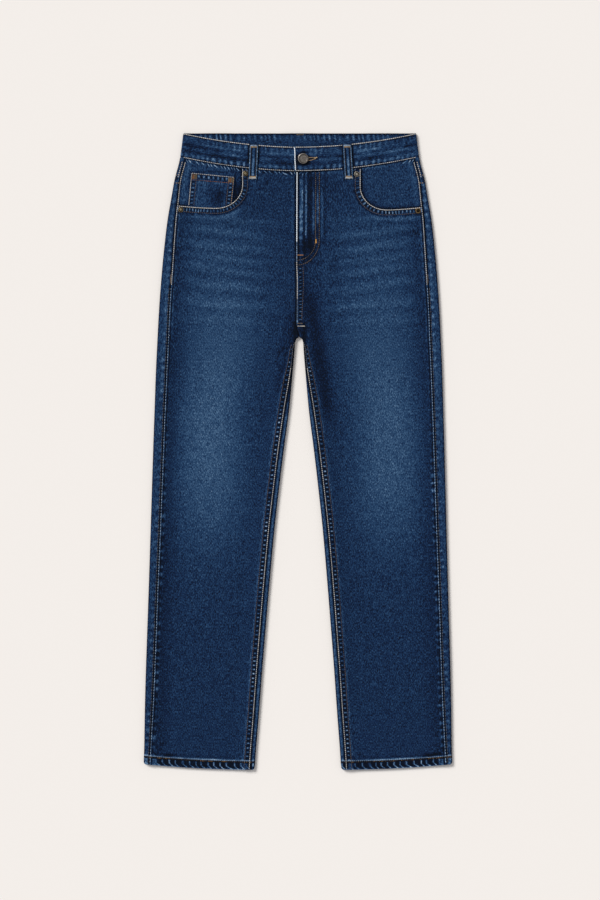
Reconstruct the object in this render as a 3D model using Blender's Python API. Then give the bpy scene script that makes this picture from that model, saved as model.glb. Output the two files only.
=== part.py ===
"""Straight leg jeans laid flat on their back, with five pockets, a buttoned fly and turned-up hems.

The surface is at z = 0, the waist points to +Y and the hems to -Y. "Right" and "left" are the wearer's,
so the right leg lies at -X. Each piece of cloth is one closed wall. The back panels lie on the surface,
wrap round the side folds and the inner folds of the legs, and meet the front panels on top.

Places on the cloth are given by a distance out from the centre line and a drop below the waist's edge.
"""

import math
from typing import NamedTuple

import bmesh
import bpy

MM = 0.001

# Driving dimensions
LENGTH = 1030 * MM  # from the waist's edge to the hems' lowest point
LEAN = 3 * MM  # how far the centre line stands to the left at the waist
CLOTH = 1.1 * MM  # one layer of washed denim
HEM_CLOTH = 2.0 * MM  # denim turned up twice
HEM = 14.5 * MM  # height of the turned-up hem
BAND_CLOTH = 2.0 * MM  # the waistband's two layers
BAND = 39.5 * MM  # the waistband's width
GAP = 0.3 * MM  # between pieces that touch
FOLD = 5.6 * MM  # height of the garment at its side folds
ROUND = FOLD / 2  # outer radius of a fold
CROTCH = 329.5 * MM  # drop of the crotch
YOKE_SIDE = 72 * MM  # drop of the yoke's seam at the side seam
YOKE_POINT = 39 * MM  # how much deeper the yoke is at the centre of the back
WAIST_DIP = 22.2 * MM  # how far the front of the waist dips below its back
WAIST_HALF = 190 * MM  # half the waist's width, where the dip ends
HEM_SLANT = 9 * MM  # how much higher a hem is at its outer fold than at its inner fold
HIP_LEVEL = 3.0 * MM  # underside of the front over the seat
FLY_SEAM = -5 * MM  # the front's seam beside the centre line, from the waist down to the crotch
FLY_TUCK = 4 * MM  # how far the right front reaches under the left at the fly
FLY_TUCK_END, FLY_TUCK_RUN = 214 * MM, 14 * MM  # drop at which the tuck has ended, and the run it ends in
FLY_WIDTH = 32 * MM  # from the centre line to the fly facing's edge
FLY_STRAIGHT = 174 * MM  # drop at which the fly facing's edge turns in
FLY_END = 210 * MM  # drop of the fly facing's lower end
BAND_OVER_END = -7.7 * MM  # the waistband's upper end, beside the centre line
BAND_UNDER_END = 30 * MM  # the waistband's lower end, tucked under the upper one

TINY = 0.001


class Section(NamedTuple):
    """The leg's plan at one drop, all measured across the garment."""

    drop: float
    outer: float  # centre line to the outer fold
    side_seam: float  # outer fold to the side seam on top


class Gusset(NamedTuple):
    """The inside of the leg at one drop, below the crotch."""

    drop: float
    inner: float  # centre line to the inner fold
    inseam: float  # top of the inner fold to the inseam


class Mouth(NamedTuple):
    """One front pocket's mouth: straight down from the band, round a corner and out to the side seam."""

    inner: float  # centre line to the straight part
    straight: float  # drop at which the corner starts
    depth: float  # drop of the mouth's lowest point
    corner: float  # the corner's width


class Loop(NamedTuple):
    """One belt loop."""

    name: str
    side: int
    top: float  # centre line to the loop's middle at its upper end
    bottom: float  # the same at its lower end


SECTIONS = [Section(*(size * MM for size in row)) for row in (
    (0, 188.5, 9.0), (43, 194.3, 9.0), (75, 202.4, 9.0), (108, 208.2, 11.0), (140, 213.6, 12.8),
    (189, 219.3, 15.0), (237, 223.6, 16.2), (286, 227.0, 16.6), (335, 229.5, 17.0), (383, 231.7, 17.0),
    (448, 233.8, 16.3), (513, 235.9, 16.0), (642, 239.6, 15.0), (740, 242.5, 14.0), (869, 246.5, 13.6),
    (934, 248.0, 12.5), (999, 248.9, 10.0), (1030, 249.7, 9.0),
)]
GUSSETS = [Gusset(*(size * MM for size in row)) for row in (
    (329.5, 0.15, 0.0), (332.5, 4.3, 0.0), (339, 6.5, 0.0), (351, 7.3, 0.0), (383, 10.0, 0.4),
    (448, 16.0, 5.0), (513, 24.4, 5.8), (577, 32.0, 5.9), (642, 39.1, 6.0), (740, 47.8, 6.0),
    (804, 53.0, 5.9), (869, 58.2, 5.7), (934, 62.9, 5.5), (999, 68.0, 5.3), (1030, 70.0, 5.2),
)]
WRAPPED = GUSSETS[3].drop  # where the inseam has come right over the inner fold

RIGHT, LEFT = -1, 1
SIDES = {"right": RIGHT, "left": LEFT}
MOUTHS = {
    RIGHT: Mouth(93 * MM, 84 * MM, 121 * MM, 42 * MM),
    LEFT: Mouth(99 * MM, 86 * MM, 123.5 * MM, 42 * MM),
}
MOUTH_RISE = 4 * MM  # how much higher a mouth ends at the side seam than at its lowest point
FACING_MARGIN = 10 * MM  # how far a facing reaches under the front panel

COIN_INNER, COIN_OUTER = 104.8 * MM, 175.6 * MM  # the coin pocket's edges, from the centre line
COIN_TOP_INNER, COIN_TOP_OUTER = 70.6 * MM, 63.5 * MM  # drops of its upper corners
COIN_TAPER = 5.5 * MM  # how far its sides stand outwards at the lower edge
COIN_BOTTOM = 124 * MM

PATCH_INNER, PATCH_OUTER = 38 * MM, 172 * MM  # a back pocket's upper corners, from the centre line
PATCH_TOP_INNER, PATCH_TOP_OUTER = 129 * MM, 105 * MM  # drops of its upper corners
PATCH_SIDE = 272 * MM  # drop of its lower corners
PATCH_POINT = 16 * MM  # how much lower its point is
PATCH_TAPER = 8 * MM  # how much narrower it is below, on each side

LOOP_WIDTH = 13 * MM
LOOP_CLOTH = 1.0 * MM
LOOP_ARCH = 0.9 * MM  # how far a front loop stands off the band at its middle
LOOP_ABOVE, LOOP_BELOW = 1 * MM, 17 * MM  # how far a loop starts below the band's top and ends below it
FRONT_LOOPS = (
    Loop("belt_loop_front_right", RIGHT, 74 * MM, 76 * MM),
    Loop("belt_loop_front_left", LEFT, 76.5 * MM, 80 * MM),
)
BACK_LOOPS = (
    Loop("belt_loop_back_right", RIGHT, 134 * MM, 134 * MM),
    Loop("belt_loop_centre_back", LEFT, 0.0, 0.0),
    Loop("belt_loop_back_left", LEFT, 134 * MM, 134 * MM),
)

ZIP_WIDTH, ZIP_CLOTH, ZIP_LEVEL = 15 * MM, 0.9 * MM, 1.85 * MM
ZIP_TOP, ZIP_BOTTOM = 82 * MM, 205 * MM

BUTTON_RADIUS, BUTTON_HEIGHT, BUTTON_DROP, BUTTON_OUT = 8.5 * MM, 2.6 * MM, 41.5 * MM, 5.7 * MM
RIVET_RADIUS, RIVET_HEIGHT = 4.3 * MM, 1.0 * MM
RIVETS = {  # side, distance out, drop
    "rivet_right_inner": (RIGHT, 87.5 * MM, 65.5 * MM),
    "rivet_right_outer": (RIGHT, 192 * MM, 124 * MM),
    "rivet_left_inner": (LEFT, 92.5 * MM, 66.5 * MM),
    "rivet_left_outer": (LEFT, 192 * MM, 125.5 * MM),
}

# Where the walls ease from one level to the next
SAG_RUN = 40 * MM  # from a fold to where the front rests on the back
CURL_START = 285 * MM  # above the crotch, front and back begin to turn towards each other
LIFT_RUN = 20 * MM  # from a raised place down to the level around it
FACING_MORE, FACING_RUN = 12 * MM, 24 * MM  # how far past a facing the front stays up, and its way down
COIN_MORE, COIN_RUN = 10 * MM, 12 * MM  # the same at the coin pocket
FLY_MORE = 14 * MM  # the same beside the fly facing
PATCH_MORE = 16 * MM  # the same for the back over a patch pocket
MOUTH_ROW_END = 172 * MM  # inner drop of the front panel's row that ends where the mouth ends
SEAT_ROWS = 12  # rows of a back panel above the crotch
SEAT_END = CROTCH - 5 * MM  # drop of the last row above the crotch

# A front's columns, from its inner edge and from its outer edge
INNER_OFFSETS = [size * MM for size in (0, 1.9, 3.8, 9, 18, 28, 38.5)]
OUTER_OFFSETS = [size * MM for size in (24, 12, 0)]
# Drops of the legs' rows, from the crotch to above the hem
LEG_DROPS = [size * MM for size in (
    329.5, 332.5, 337, 343, 351, 367, 390, 420, 460, 510, 570, 640, 720, 800, 880, 945, 985,
)]


def ease(share: float) -> float:
    """Smooth step from 0 to 1."""
    share = min(max(share, 0.0), 1.0)
    return share * share * (3 - 2 * share)


def blend(start: float, end: float, share: float) -> float:
    """The value a share of the way from start to end."""
    return start + (end - start) * share


def plateau(value: float, low: float, high: float, run: float = LIFT_RUN) -> float:
    """1 from low to high, easing to 0 a run outside them."""
    return ease(1 - max(low - value, value - high, 0.0) / run)


def read(table: list, column: str, drop: float) -> float:
    """A table's column at a drop, on a smooth curve through its rows."""
    last = len(table) - 1
    place = next((i for i in range(last) if drop < table[i + 1].drop), last - 1)
    spots = [(table[min(max(place + i, 0), last)].drop, getattr(table[min(max(place + i, 0), last)], column))
             for i in (-1, 0, 1, 2)]
    (x0, y0), (x1, y1), (x2, y2), (x3, y3) = spots
    share = min(max((drop - x1) / (x2 - x1), 0.0), 1.0)
    leave = (y2 - y0) / (x2 - x0) * (x2 - x1)
    arrive = (y3 - y1) / (x3 - x1) * (x2 - x1)
    return (y1 * (1 + 2 * share) * (1 - share) ** 2 + leave * share * (1 - share) ** 2
            + y2 * share ** 2 * (3 - 2 * share) - arrive * share ** 2 * (1 - share))


def outer_fold(drop: float) -> float:
    """Centre line to the outer fold."""
    return read(SECTIONS, "outer", drop)


def side_seam(drop: float) -> float:
    """Centre line to the side seam on top."""
    return outer_fold(drop) - read(SECTIONS, "side_seam", drop)


def inner_fold(drop: float) -> float:
    """Centre line to the inner fold."""
    return read(GUSSETS, "inner", drop)


def front_seam(drop: float) -> float:
    """The front's centre seam beside the centre line: nearer below the fly, on it at the crotch."""
    below_fly = blend(0.8, 1.0, ease((FLY_END - drop) / (1.5 * LIFT_RUN) + 1))
    return FLY_SEAM * below_fly * ease((CROTCH - drop) / LIFT_RUN)


def waist_dip(out: float) -> float:
    """Drop of the front waist's edge."""
    return WAIST_DIP * (1 - min(abs(out) / WAIST_HALF, 1.0) ** 1.85)


def band_foot(out: float) -> float:
    """Drop of the front band's lower edge."""
    return waist_dip(out) + BAND


def hem_rise(out: float, drop: float) -> float:
    """How much a level line of the leg has risen near the hem, most at the outer fold."""
    inner, outer = inner_fold(drop), outer_fold(drop)
    across = min(max((outer - out) / (outer - inner), 0.0), 1.0)
    return HEM_SLANT * (1 - across) ** 2 * ease((drop - 0.7 * LENGTH) / (0.3 * LENGTH))


def cloth_at(drop: float) -> float:
    """Thickness of a leg's wall."""
    return HEM_CLOTH if drop > LENGTH - HEM else CLOTH


def at(side: int, out: float, drop: float, height: float) -> tuple:
    """A point of the garment in space."""
    centre = LEAN * (1 - drop / LENGTH)
    return (centre + side * out, LENGTH / 2 - drop, height)


# Levels of the layers


def closing(drop: float) -> float:
    """How far front and back have turned towards each other above the crotch, 0 to 1."""
    return ease((drop - CURL_START) / (CROTCH - CURL_START))


def sag(drop: float) -> float:
    """How far the front lies below the height of the folds."""
    hip = FOLD - CLOTH - HIP_LEVEL
    leg = FOLD - 2 * CLOTH - 1.4 * GAP
    hem = FOLD - 2 * HEM_CLOTH - 1.4 * GAP
    before_hem = hem + HEM_CLOTH - CLOTH
    if drop > LENGTH - HEM:
        return hem
    near = ease((drop - 0.87 * LENGTH) / (0.13 * LENGTH - HEM))
    return blend(blend(hip, leg, ease((drop - CURL_START) / (0.13 * LENGTH))), before_hem, near)


def top_height(side: int, out: float, drop: float) -> float:
    """Upper face of the front wall, without what lies under it."""
    from_outer = ease((outer_fold(drop) - ROUND - out) / SAG_RUN)
    if drop < CROTCH:
        edge, share = side * front_seam(drop) + ROUND, closing(drop)
    else:
        edge, share = inner_fold(drop) + ROUND, 1.0
    from_inner = 1 - share * (1 - ease((out - edge) / SAG_RUN))
    return FOLD - sag(drop) * from_outer * from_inner


def outside_facing(side: int, out: float, drop: float) -> float:
    """Roughly how far a place lies outside a pocket facing."""
    mouth = MOUTHS[side]
    across = max(mouth.inner + mouth.corner - out, 0.0) / (mouth.corner + FACING_MARGIN)
    tall = mouth.depth - mouth.straight + FACING_MARGIN
    return tall * (math.hypot(across, max(drop - mouth.straight, 0.0) / tall) - 1)


def front_lift(side: int, out: float, drop: float) -> float:
    """How far the front is raised by the pocket facing, the coin pocket or the fly facing under it."""
    lift = ease(1 - (outside_facing(side, out, drop) - FACING_MORE) / FACING_RUN)
    if side == RIGHT:
        lift += (plateau(out, COIN_INNER - COIN_MORE, COIN_OUTER + COIN_TAPER + COIN_MORE, COIN_RUN)
                 * plateau(drop, 0.0, COIN_BOTTOM + COIN_MORE))
    else:
        lift += (plateau(out, -FLY_WIDTH, FLY_WIDTH + FLY_MORE)
                 * plateau(drop, 0.0, FLY_END + FLY_MORE / 2, 1.5 * LIFT_RUN))
    return lift * (CLOTH + GAP)


def patch_top(out: float) -> float:
    """Drop of a back pocket's upper edge."""
    return blend(PATCH_TOP_INNER, PATCH_TOP_OUTER, (out - PATCH_INNER) / (PATCH_OUTER - PATCH_INNER))


def back_lift(side: int, out: float, drop: float) -> float:
    """How far the back is raised by the patch pocket and the belt loops under it."""
    patch = plateau(out, PATCH_INNER - PATCH_MORE, PATCH_OUTER + PATCH_MORE) * plateau(
        drop, patch_top(out) - LIFT_RUN, PATCH_SIDE + PATCH_POINT + PATCH_MORE)
    loops = max(plateau(side * out, loop.side * loop.top - LOOP_WIDTH, loop.side * loop.top + LOOP_WIDTH)
                for loop in BACK_LOOPS)
    loops *= plateau(drop, 0.0, BAND + LOOP_BELOW)
    return max(patch * (CLOTH + GAP), loops * (LOOP_CLOTH + GAP))


# Sections through the walls. Each returns (outside point, inside point) pairs.


def wall_pair(side: int, out: float, drop: float, height: float, lean_out: float, lean_up: float,
              thick: float) -> tuple:
    """A point of the outer face and the one behind it, where the face leans towards (lean_out, lean_up)."""
    return (at(side, out, drop, height),
            at(side, out - thick * lean_out, drop, height - thick * lean_up))


def turn(run: float, drop: float) -> tuple:
    """How far an inner edge has come in and up after a run along it, and its angle."""
    if drop >= CROTCH:
        radius, total = ROUND, math.pi
    else:
        total = max(closing(drop) * math.pi / 2, TINY)
        radius = ROUND * math.pi / 2 / total
    angle = min(run / radius, total)
    return radius * math.sin(angle), radius * (1 - math.cos(angle)), angle


def seam_run(drop: float) -> float:
    """Length of a back's inner edge past the flat, up to the seam that joins it to the front."""
    if drop <= CROTCH:
        return ROUND * math.pi / 2
    come_over = ROUND * math.pi / 2 * (1 + ease((drop - CROTCH) / (WRAPPED - CROTCH)))
    return come_over + read(GUSSETS, "inseam", drop)


def inner_start(side_limit: float, drop: float) -> float:
    """Where the flat ends and the inner edge starts to turn."""
    if drop >= CROTCH:
        return inner_fold(drop) + ROUND
    return side_limit + turn(ROUND * math.pi / 2, drop)[0]


def back_row(side: int, drop: float, skew: float) -> list:
    """A back piece's section from the side seam round the outer fold to its inner edge.

    The row's drop is at the side seam, and skew is how much lower it is at the centre.
    """
    thick = cloth_at(drop)
    fold, seam = outer_fold(drop), side_seam(drop) + GAP / 2
    start = inner_start(0.0, drop + skew)
    arc_centre = fold - ROUND
    row = []
    for share in (0, 0.5):
        out = blend(seam, arc_centre, share)
        level = max(drop - hem_rise(out, drop), band_foot(out) + GAP)
        row.append(wall_pair(side, out, level, top_height(side, out, drop), 0, 1, thick))
    for step in range(6):
        angle = math.pi / 2 - math.pi * step / 5
        out = arc_centre + ROUND * math.cos(angle)
        level = drop - hem_rise(out, drop)
        row.append(wall_pair(side, out, level, ROUND * (1 + math.sin(angle)), math.cos(angle),
                             math.sin(angle), thick))
    for step in range(1, 9):
        out = blend(arc_centre, start, step / 9)
        level = drop + skew * (1 - out / arc_centre) - hem_rise(out, drop)
        row.append(wall_pair(side, out, level, back_lift(side, out, level), 0, -1, thick))
    length = seam_run(drop) - GAP / 2
    for step in range(7):
        run = length * step / 6
        come_in, up, angle = turn(run, drop + skew)
        over = max(run - ROUND * math.pi, 0.0) if drop >= CROTCH else 0.0
        out = start - come_in + over
        level = drop + skew - hem_rise(out, drop)
        up = top_height(side, out, drop) if over > 0 else up + back_lift(side, start, level)
        row.append(wall_pair(side, out, level, up, -math.sin(angle), -math.cos(angle), thick))
    return row


def front_row(side: int, inner_drop: float, outer_edge: tuple, follow_band: float = 0.0) -> list:
    """A front panel's section from its inner edge to its outer edge.

    outer_edge is the outer end's distance out and drop. follow_band is 1 for the edge under the band.
    """
    edge_out, edge_drop = outer_edge
    tuck = FLY_TUCK * ease((FLY_TUCK_END - inner_drop) / FLY_TUCK_RUN) if side == RIGHT else 0.0
    limit = side * front_seam(inner_drop) - tuck
    start = inner_start(limit, inner_drop)
    bend_run = (ROUND * math.pi / 2 if inner_drop <= CROTCH
                else ROUND * math.pi - seam_run(inner_drop)) - GAP / 2
    last_inner = start - (bend_run - INNER_OFFSETS[-1])
    first_outer = edge_out - OUTER_OFFSETS[0]
    inner = [(bend_run - offset) for offset in INNER_OFFSETS]
    flat = [blend(last_inner, first_outer, step / 5) for step in range(1, 5)]
    flat += [edge_out - offset for offset in OUTER_OFFSETS]
    thick = cloth_at(inner_drop)
    row = []

    def level_at(out: float) -> float:
        """Drop of the row at a distance out."""
        share = (out - limit) / (edge_out - limit)
        chord = blend(band_foot(limit), band_foot(edge_out), share)
        return blend(inner_drop, edge_drop, share) + follow_band * (band_foot(out) - chord)

    def place(out: float, seat: float, down: float, lean_out: float, lean_up: float) -> None:
        """Add a point of the row; seat is where the height of the flat is read."""
        level = level_at(out)
        height = top_height(side, seat, level) + front_lift(side, out, level) - down
        rise = hem_rise(out, inner_drop) if inner_drop > CROTCH else 0.0
        row.append(wall_pair(side, out, level - rise, height, lean_out, lean_up, thick))

    for run in inner:
        come_in, down, angle = turn(run, inner_drop) if run > 0 else (run, 0.0, 0.0)
        out = start - come_in
        place(out, max(out, start), down, -math.sin(angle), math.cos(angle))
    for out in flat:
        place(out, out, 0.0, 0, 1)
    return row


def mouth_edge(side: int) -> list:
    """Points of a front pocket's mouth, from the band to the side seam, as (distance out, drop)."""
    mouth = MOUTHS[side]
    points = [(mouth.inner, band_foot(mouth.inner) + GAP), (mouth.inner, mouth.straight)]
    for step in range(1, 5):
        angle = math.pi / 2 * step / 4
        points.append((mouth.inner + mouth.corner * (1 - math.cos(angle)),
                       mouth.straight + (mouth.depth - mouth.straight) * math.sin(angle)))
    end_drop = mouth.depth - MOUTH_RISE
    end_out = side_seam(end_drop) - GAP / 2
    points.append(((points[-1][0] + end_out) / 2, mouth.depth - MOUTH_RISE / 3))
    points.append((end_out, end_drop))
    return points


# Making objects


def cloth_material(name: str, colour: tuple, roughness: float, metallic: float = 0.0) -> bpy.types.Material:
    """A material with one Principled BSDF."""
    material = bpy.data.materials.new(name)
    material.use_nodes = True
    shader = material.node_tree.nodes["Principled BSDF"]
    shader.inputs["Base Color"].default_value = (*colour, 1)
    shader.inputs["Roughness"].default_value = roughness
    shader.inputs["Metallic"].default_value = metallic
    material.diffuse_color = (*colour, 1)
    return material


def finish_object(name: str, shape: bmesh.types.BMesh, material: bpy.types.Material) -> None:
    """Turn a shape into a smooth-shaded object."""
    bmesh.ops.recalc_face_normals(shape, faces=shape.faces)
    mesh = bpy.data.meshes.new(name)
    shape.to_mesh(mesh)
    shape.free()
    mesh.materials.append(material)
    mesh.shade_smooth()
    mesh.set_sharp_from_angle(angle=math.radians(40))
    bpy.context.collection.objects.link(bpy.data.objects.new(name, mesh))


def wall(name: str, rows: list, material: bpy.types.Material) -> None:
    """One closed sheet of cloth from rows of (outer point, inner point) pairs."""
    shape = bmesh.new()
    grid = [[tuple(shape.verts.new(point) for point in pair) for pair in row] for row in rows]
    last_row, last_column = len(grid) - 1, len(grid[0]) - 1
    for face in (0, 1):
        for r in range(last_row):
            for c in range(last_column):
                shape.faces.new([grid[r][c][face], grid[r + 1][c][face],
                                 grid[r + 1][c + 1][face], grid[r][c + 1][face]])
    rim = [(0, c) for c in range(last_column)]
    rim += [(r, last_column) for r in range(last_row)]
    rim += [(last_row, c) for c in range(last_column, 0, -1)]
    rim += [(r, 0) for r in range(last_row, 0, -1)]
    for (r, c), (next_r, next_c) in zip(rim, rim[1:] + rim[:1]):
        shape.faces.new([grid[r][c][0], grid[next_r][next_c][0], grid[next_r][next_c][1], grid[r][c][1]])
    finish_object(name, shape, material)


def turned(name: str, profile: list, place: tuple, material: bpy.types.Material, sides: int) -> None:
    """A round piece: a profile of (radius, height) points spun about the upright axis through place."""
    shape = bmesh.new()
    points = [shape.verts.new((place[0] + radius, place[1], place[2] + height)) for radius, height in profile]
    edges = [shape.edges.new(pair) for pair in zip(points, points[1:])]
    bmesh.ops.spin(shape, geom=points + edges, cent=place, axis=(0, 0, 1), angle=2 * math.pi, steps=sides,
                   use_duplicate=False)
    bmesh.ops.remove_doubles(shape, verts=shape.verts, dist=0.01 * MM)
    finish_object(name, shape, material)


def panels(denim: bpy.types.Material) -> None:
    """The front and back panels and the yokes."""
    hem_drops = [LENGTH - HEM - GAP, LENGTH - HEM + GAP, LENGTH]
    for word, side in SIDES.items():
        back = []
        for step in range(SEAT_ROWS):
            drop = blend(YOKE_SIDE + GAP / 2, SEAT_END, step / (SEAT_ROWS - 1))
            back.append(back_row(side, drop, YOKE_POINT * ease(1 - (drop - YOKE_SIDE) / (5 * YOKE_POINT))))
        back += [back_row(side, drop, 0.0) for drop in LEG_DROPS + hem_drops]
        wall(f"back_panel_{word}", back, denim)

        yoke = []
        for share in (0, 0.26, 0.5, 0.75, 1):
            drop = blend(BAND + GAP, YOKE_SIDE - GAP / 2, share)
            yoke.append(back_row(side, drop, YOKE_POINT * share))
        wall(f"yoke_{word}", yoke, denim)

        front = []
        edge = mouth_edge(side)
        inner_top = band_foot(FLY_SEAM) + GAP
        for step, point in enumerate(edge):
            share = step / (len(edge) - 1)
            inner_drop = blend(inner_top, MOUTH_ROW_END, share)
            front.append(front_row(side, inner_drop, point, max(1 - 2 * share, 0.0)))
        for step in range(1, 8):
            share = step / 7
            drop = blend(edge[-1][1], SEAT_END, share)
            inner_drop = blend(MOUTH_ROW_END, SEAT_END, share)
            front.append(front_row(side, inner_drop, (side_seam(drop) - GAP / 2, drop)))
        front += [front_row(side, drop, (side_seam(drop) - GAP / 2, drop)) for drop in LEG_DROPS + hem_drops]
        wall(f"front_panel_{word}", front, denim)


def pocket_facings(denim: bpy.types.Material) -> None:
    """The facings that show inside the front pockets' mouths, from the side seam inwards."""
    for word, side in SIDES.items():
        mouth = MOUTHS[side]
        corner = mouth.inner + mouth.corner
        inner = mouth.inner - FACING_MARGIN
        tall = mouth.depth - mouth.straight + FACING_MARGIN
        head_at_seam = BAND + 5 * GAP
        foot_at_seam = mouth.straight + tall - MOUTH_RISE
        rows = []
        for step in range(6):
            drop_at_seam = blend(head_at_seam, foot_at_seam, step / 5)
            seam = side_seam(drop_at_seam) - GAP / 2
            row = []
            for column in range(11):
                out = blend(seam, inner, column / 10)
                across = min(max(corner - out, 0.0) / (corner - inner), 1.0)
                rise = MOUTH_RISE * max(out - corner, 0.0) / (seam - corner)
                foot = mouth.straight + tall * math.sqrt(1 - across ** 2) - rise
                drop = blend(band_foot(out) + GAP, foot, step / 5) if column else drop_at_seam
                row.append(wall_pair(side, out, drop, top_height(side, out, drop), 0, 1, CLOTH))
            rows.append(row)
        wall(f"pocket_facing_{word}", rows, denim)


def coin_pocket(denim: bpy.types.Material) -> None:
    """The small pocket on the right facing, whose foot lies under the front panel."""
    rows = []
    for step in range(5):
        row = []
        for column in range(7):
            share = column / 6
            out = blend(COIN_INNER, COIN_OUTER, share) + COIN_TAPER * step / 4
            drop = blend(blend(COIN_TOP_INNER, COIN_TOP_OUTER, share), COIN_BOTTOM, step / 4)
            height = top_height(RIGHT, out, drop) + GAP + CLOTH
            row.append(wall_pair(RIGHT, out, drop, height, 0, 1, CLOTH))
        rows.append(row)
    wall("coin_pocket", rows, denim)


def fly_facing(denim: bpy.types.Material) -> None:
    """The J-shaped facing under the left front."""
    inner = FLY_SEAM + FLY_TUCK + GAP
    rows = []
    for step in range(8):
        row = []
        for column in range(7):
            out = blend(inner, FLY_WIDTH, column / 6)
            across = (out - inner) / (FLY_WIDTH - inner)
            foot = FLY_STRAIGHT + (FLY_END - FLY_STRAIGHT) * math.sqrt(1 - across ** 2)
            drop = blend(band_foot(out) + GAP, foot, step / 7)
            row.append(wall_pair(LEFT, out, drop, HIP_LEVEL + CLOTH, 0, 1, CLOTH))
        rows.append(row)
    wall("fly_facing", rows, denim)


def zip_tape(tape: bpy.types.Material) -> None:
    """The closed zip, hidden behind the fly."""
    rows = [[wall_pair(LEFT, out, drop, ZIP_LEVEL + ZIP_CLOTH, 0, 1, ZIP_CLOTH)
             for out in (-ZIP_WIDTH / 2, ZIP_WIDTH / 2)] for drop in (ZIP_TOP, ZIP_BOTTOM)]
    wall("zip", rows, tape)


def waistband(denim: bpy.types.Material) -> None:
    """One strip round the waist: its left end lies over its right end at the fly."""
    upper, lower = [], []
    overlap_end = BAND_UNDER_END + 1.35 * LIFT_RUN
    for edge, column in ((0.0, upper), (BAND, lower)):
        fold = outer_fold(edge)
        reach = fold - ROUND

        def drop_on_top(out: float, below: float = edge) -> float:
            """Drop of this edge on the front."""
            return waist_dip(out) + below

        over = [blend(BAND_OVER_END, overlap_end, step / 5) for step in range(5)]
        over += [blend(overlap_end, reach, step / 14) for step in range(15)]
        for out in over:
            lift = (BAND_CLOTH + GAP) * ease((overlap_end - out) / LIFT_RUN)
            column.append(wall_pair(LEFT, out, drop_on_top(out), FOLD + lift, 0, 1, BAND_CLOTH))
        for side in (LEFT, RIGHT):
            turns = range(1, 7) if side == LEFT else range(6, 0, -1)
            if side == RIGHT:
                for step in range(1, 28):
                    across = blend(reach, -reach, step / 28)
                    seat = LEFT if across > 0 else RIGHT
                    column.append(wall_pair(seat, abs(across), edge, back_lift(seat, abs(across), edge),
                                            0, -1, BAND_CLOTH))
            for step in turns:
                angle = math.pi / 2 - math.pi * step / 6
                out = reach + ROUND * math.cos(angle)
                column.append(wall_pair(side, out, edge, ROUND * (1 + math.sin(angle)), math.cos(angle),
                                        math.sin(angle), BAND_CLOTH))
        for step in range(18):
            out = blend(reach, -BAND_UNDER_END, step / 17)
            column.append(wall_pair(RIGHT, out, drop_on_top(out), FOLD, 0, 1, BAND_CLOTH))
    wall("waistband", [upper, lower], denim)


def belt_loops(denim: bpy.types.Material) -> None:
    """Two loops over the front band and three under the back band."""
    half = LOOP_WIDTH / 2
    for loop in FRONT_LOOPS:
        rows = []
        for step in range(9):
            share = step / 8
            middle = blend(loop.top, loop.bottom, share)
            drop = waist_dip(middle) + blend(LOOP_ABOVE, BAND + LOOP_BELOW, share)
            height = FOLD + GAP + LOOP_CLOTH + LOOP_ARCH * math.sin(math.pi * share) ** 0.7
            rows.append([wall_pair(loop.side, middle + offset, drop, height, 0, 1, LOOP_CLOTH)
                         for offset in (-half, 0.0, half)])
        wall(loop.name, rows, denim)
    for loop in BACK_LOOPS:
        rows = [[wall_pair(loop.side, loop.top + offset, drop, 0.0, 0, -1, LOOP_CLOTH)
                 for offset in (-half, 0.0, half)] for drop in (LOOP_ABOVE, BAND, BAND + LOOP_BELOW - 2 * MM)]
        wall(loop.name, rows, denim)


def back_pockets(denim: bpy.types.Material) -> None:
    """The patch pockets, pressed flat between the seat and the surface."""
    for word, side in SIDES.items():
        rows = []
        for step in range(4):
            row = []
            for column in range(5):
                across = column / 4
                point = PATCH_POINT * (1 - abs(2 * across - 1))
                out = blend(PATCH_INNER, PATCH_OUTER, across)
                drop = blend(patch_top(out), PATCH_SIDE + point, step / 3)
                out += PATCH_TAPER * (1 - 2 * across) * step / 3
                row.append(wall_pair(side, out, drop, 0.0, 0, -1, CLOTH))
            rows.append(row)
        wall(f"back_pocket_{word}", rows, denim)


def hardware(brass: bpy.types.Material, antique: bpy.types.Material) -> None:
    """The button on the waistband and the rivets at the pocket mouths."""
    band_top = FOLD + BAND_CLOTH + GAP
    button = [(0, 0), (0.55 * BUTTON_RADIUS, 0), (0.6 * BUTTON_RADIUS, 0.25 * BUTTON_HEIGHT),
              (0.93 * BUTTON_RADIUS, 0.35 * BUTTON_HEIGHT), (BUTTON_RADIUS, 0.6 * BUTTON_HEIGHT),
              (0.95 * BUTTON_RADIUS, 0.9 * BUTTON_HEIGHT), (0.85 * BUTTON_RADIUS, BUTTON_HEIGHT),
              (0.68 * BUTTON_RADIUS, 0.85 * BUTTON_HEIGHT), (0, 0.9 * BUTTON_HEIGHT)]
    turned("button", button, at(LEFT, BUTTON_OUT, BUTTON_DROP, band_top + GAP), antique, 28)
    rivet = [(0, 0), (0.9 * RIVET_RADIUS, 0), (RIVET_RADIUS, 0.3 * RIVET_HEIGHT),
             (0.8 * RIVET_RADIUS, 0.85 * RIVET_HEIGHT), (0.4 * RIVET_RADIUS, RIVET_HEIGHT),
             (0, 0.85 * RIVET_HEIGHT)]
    for name, (side, out, drop) in RIVETS.items():
        steps = (-RIVET_RADIUS, 0, RIVET_RADIUS)
        around = [(out + across, drop + down) for across in steps for down in steps]
        seat = max(top_height(side, *spot) + front_lift(side, *spot) for spot in around)
        turned(name, rivet, at(side, out, drop, seat + GAP), brass, 16)


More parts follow.
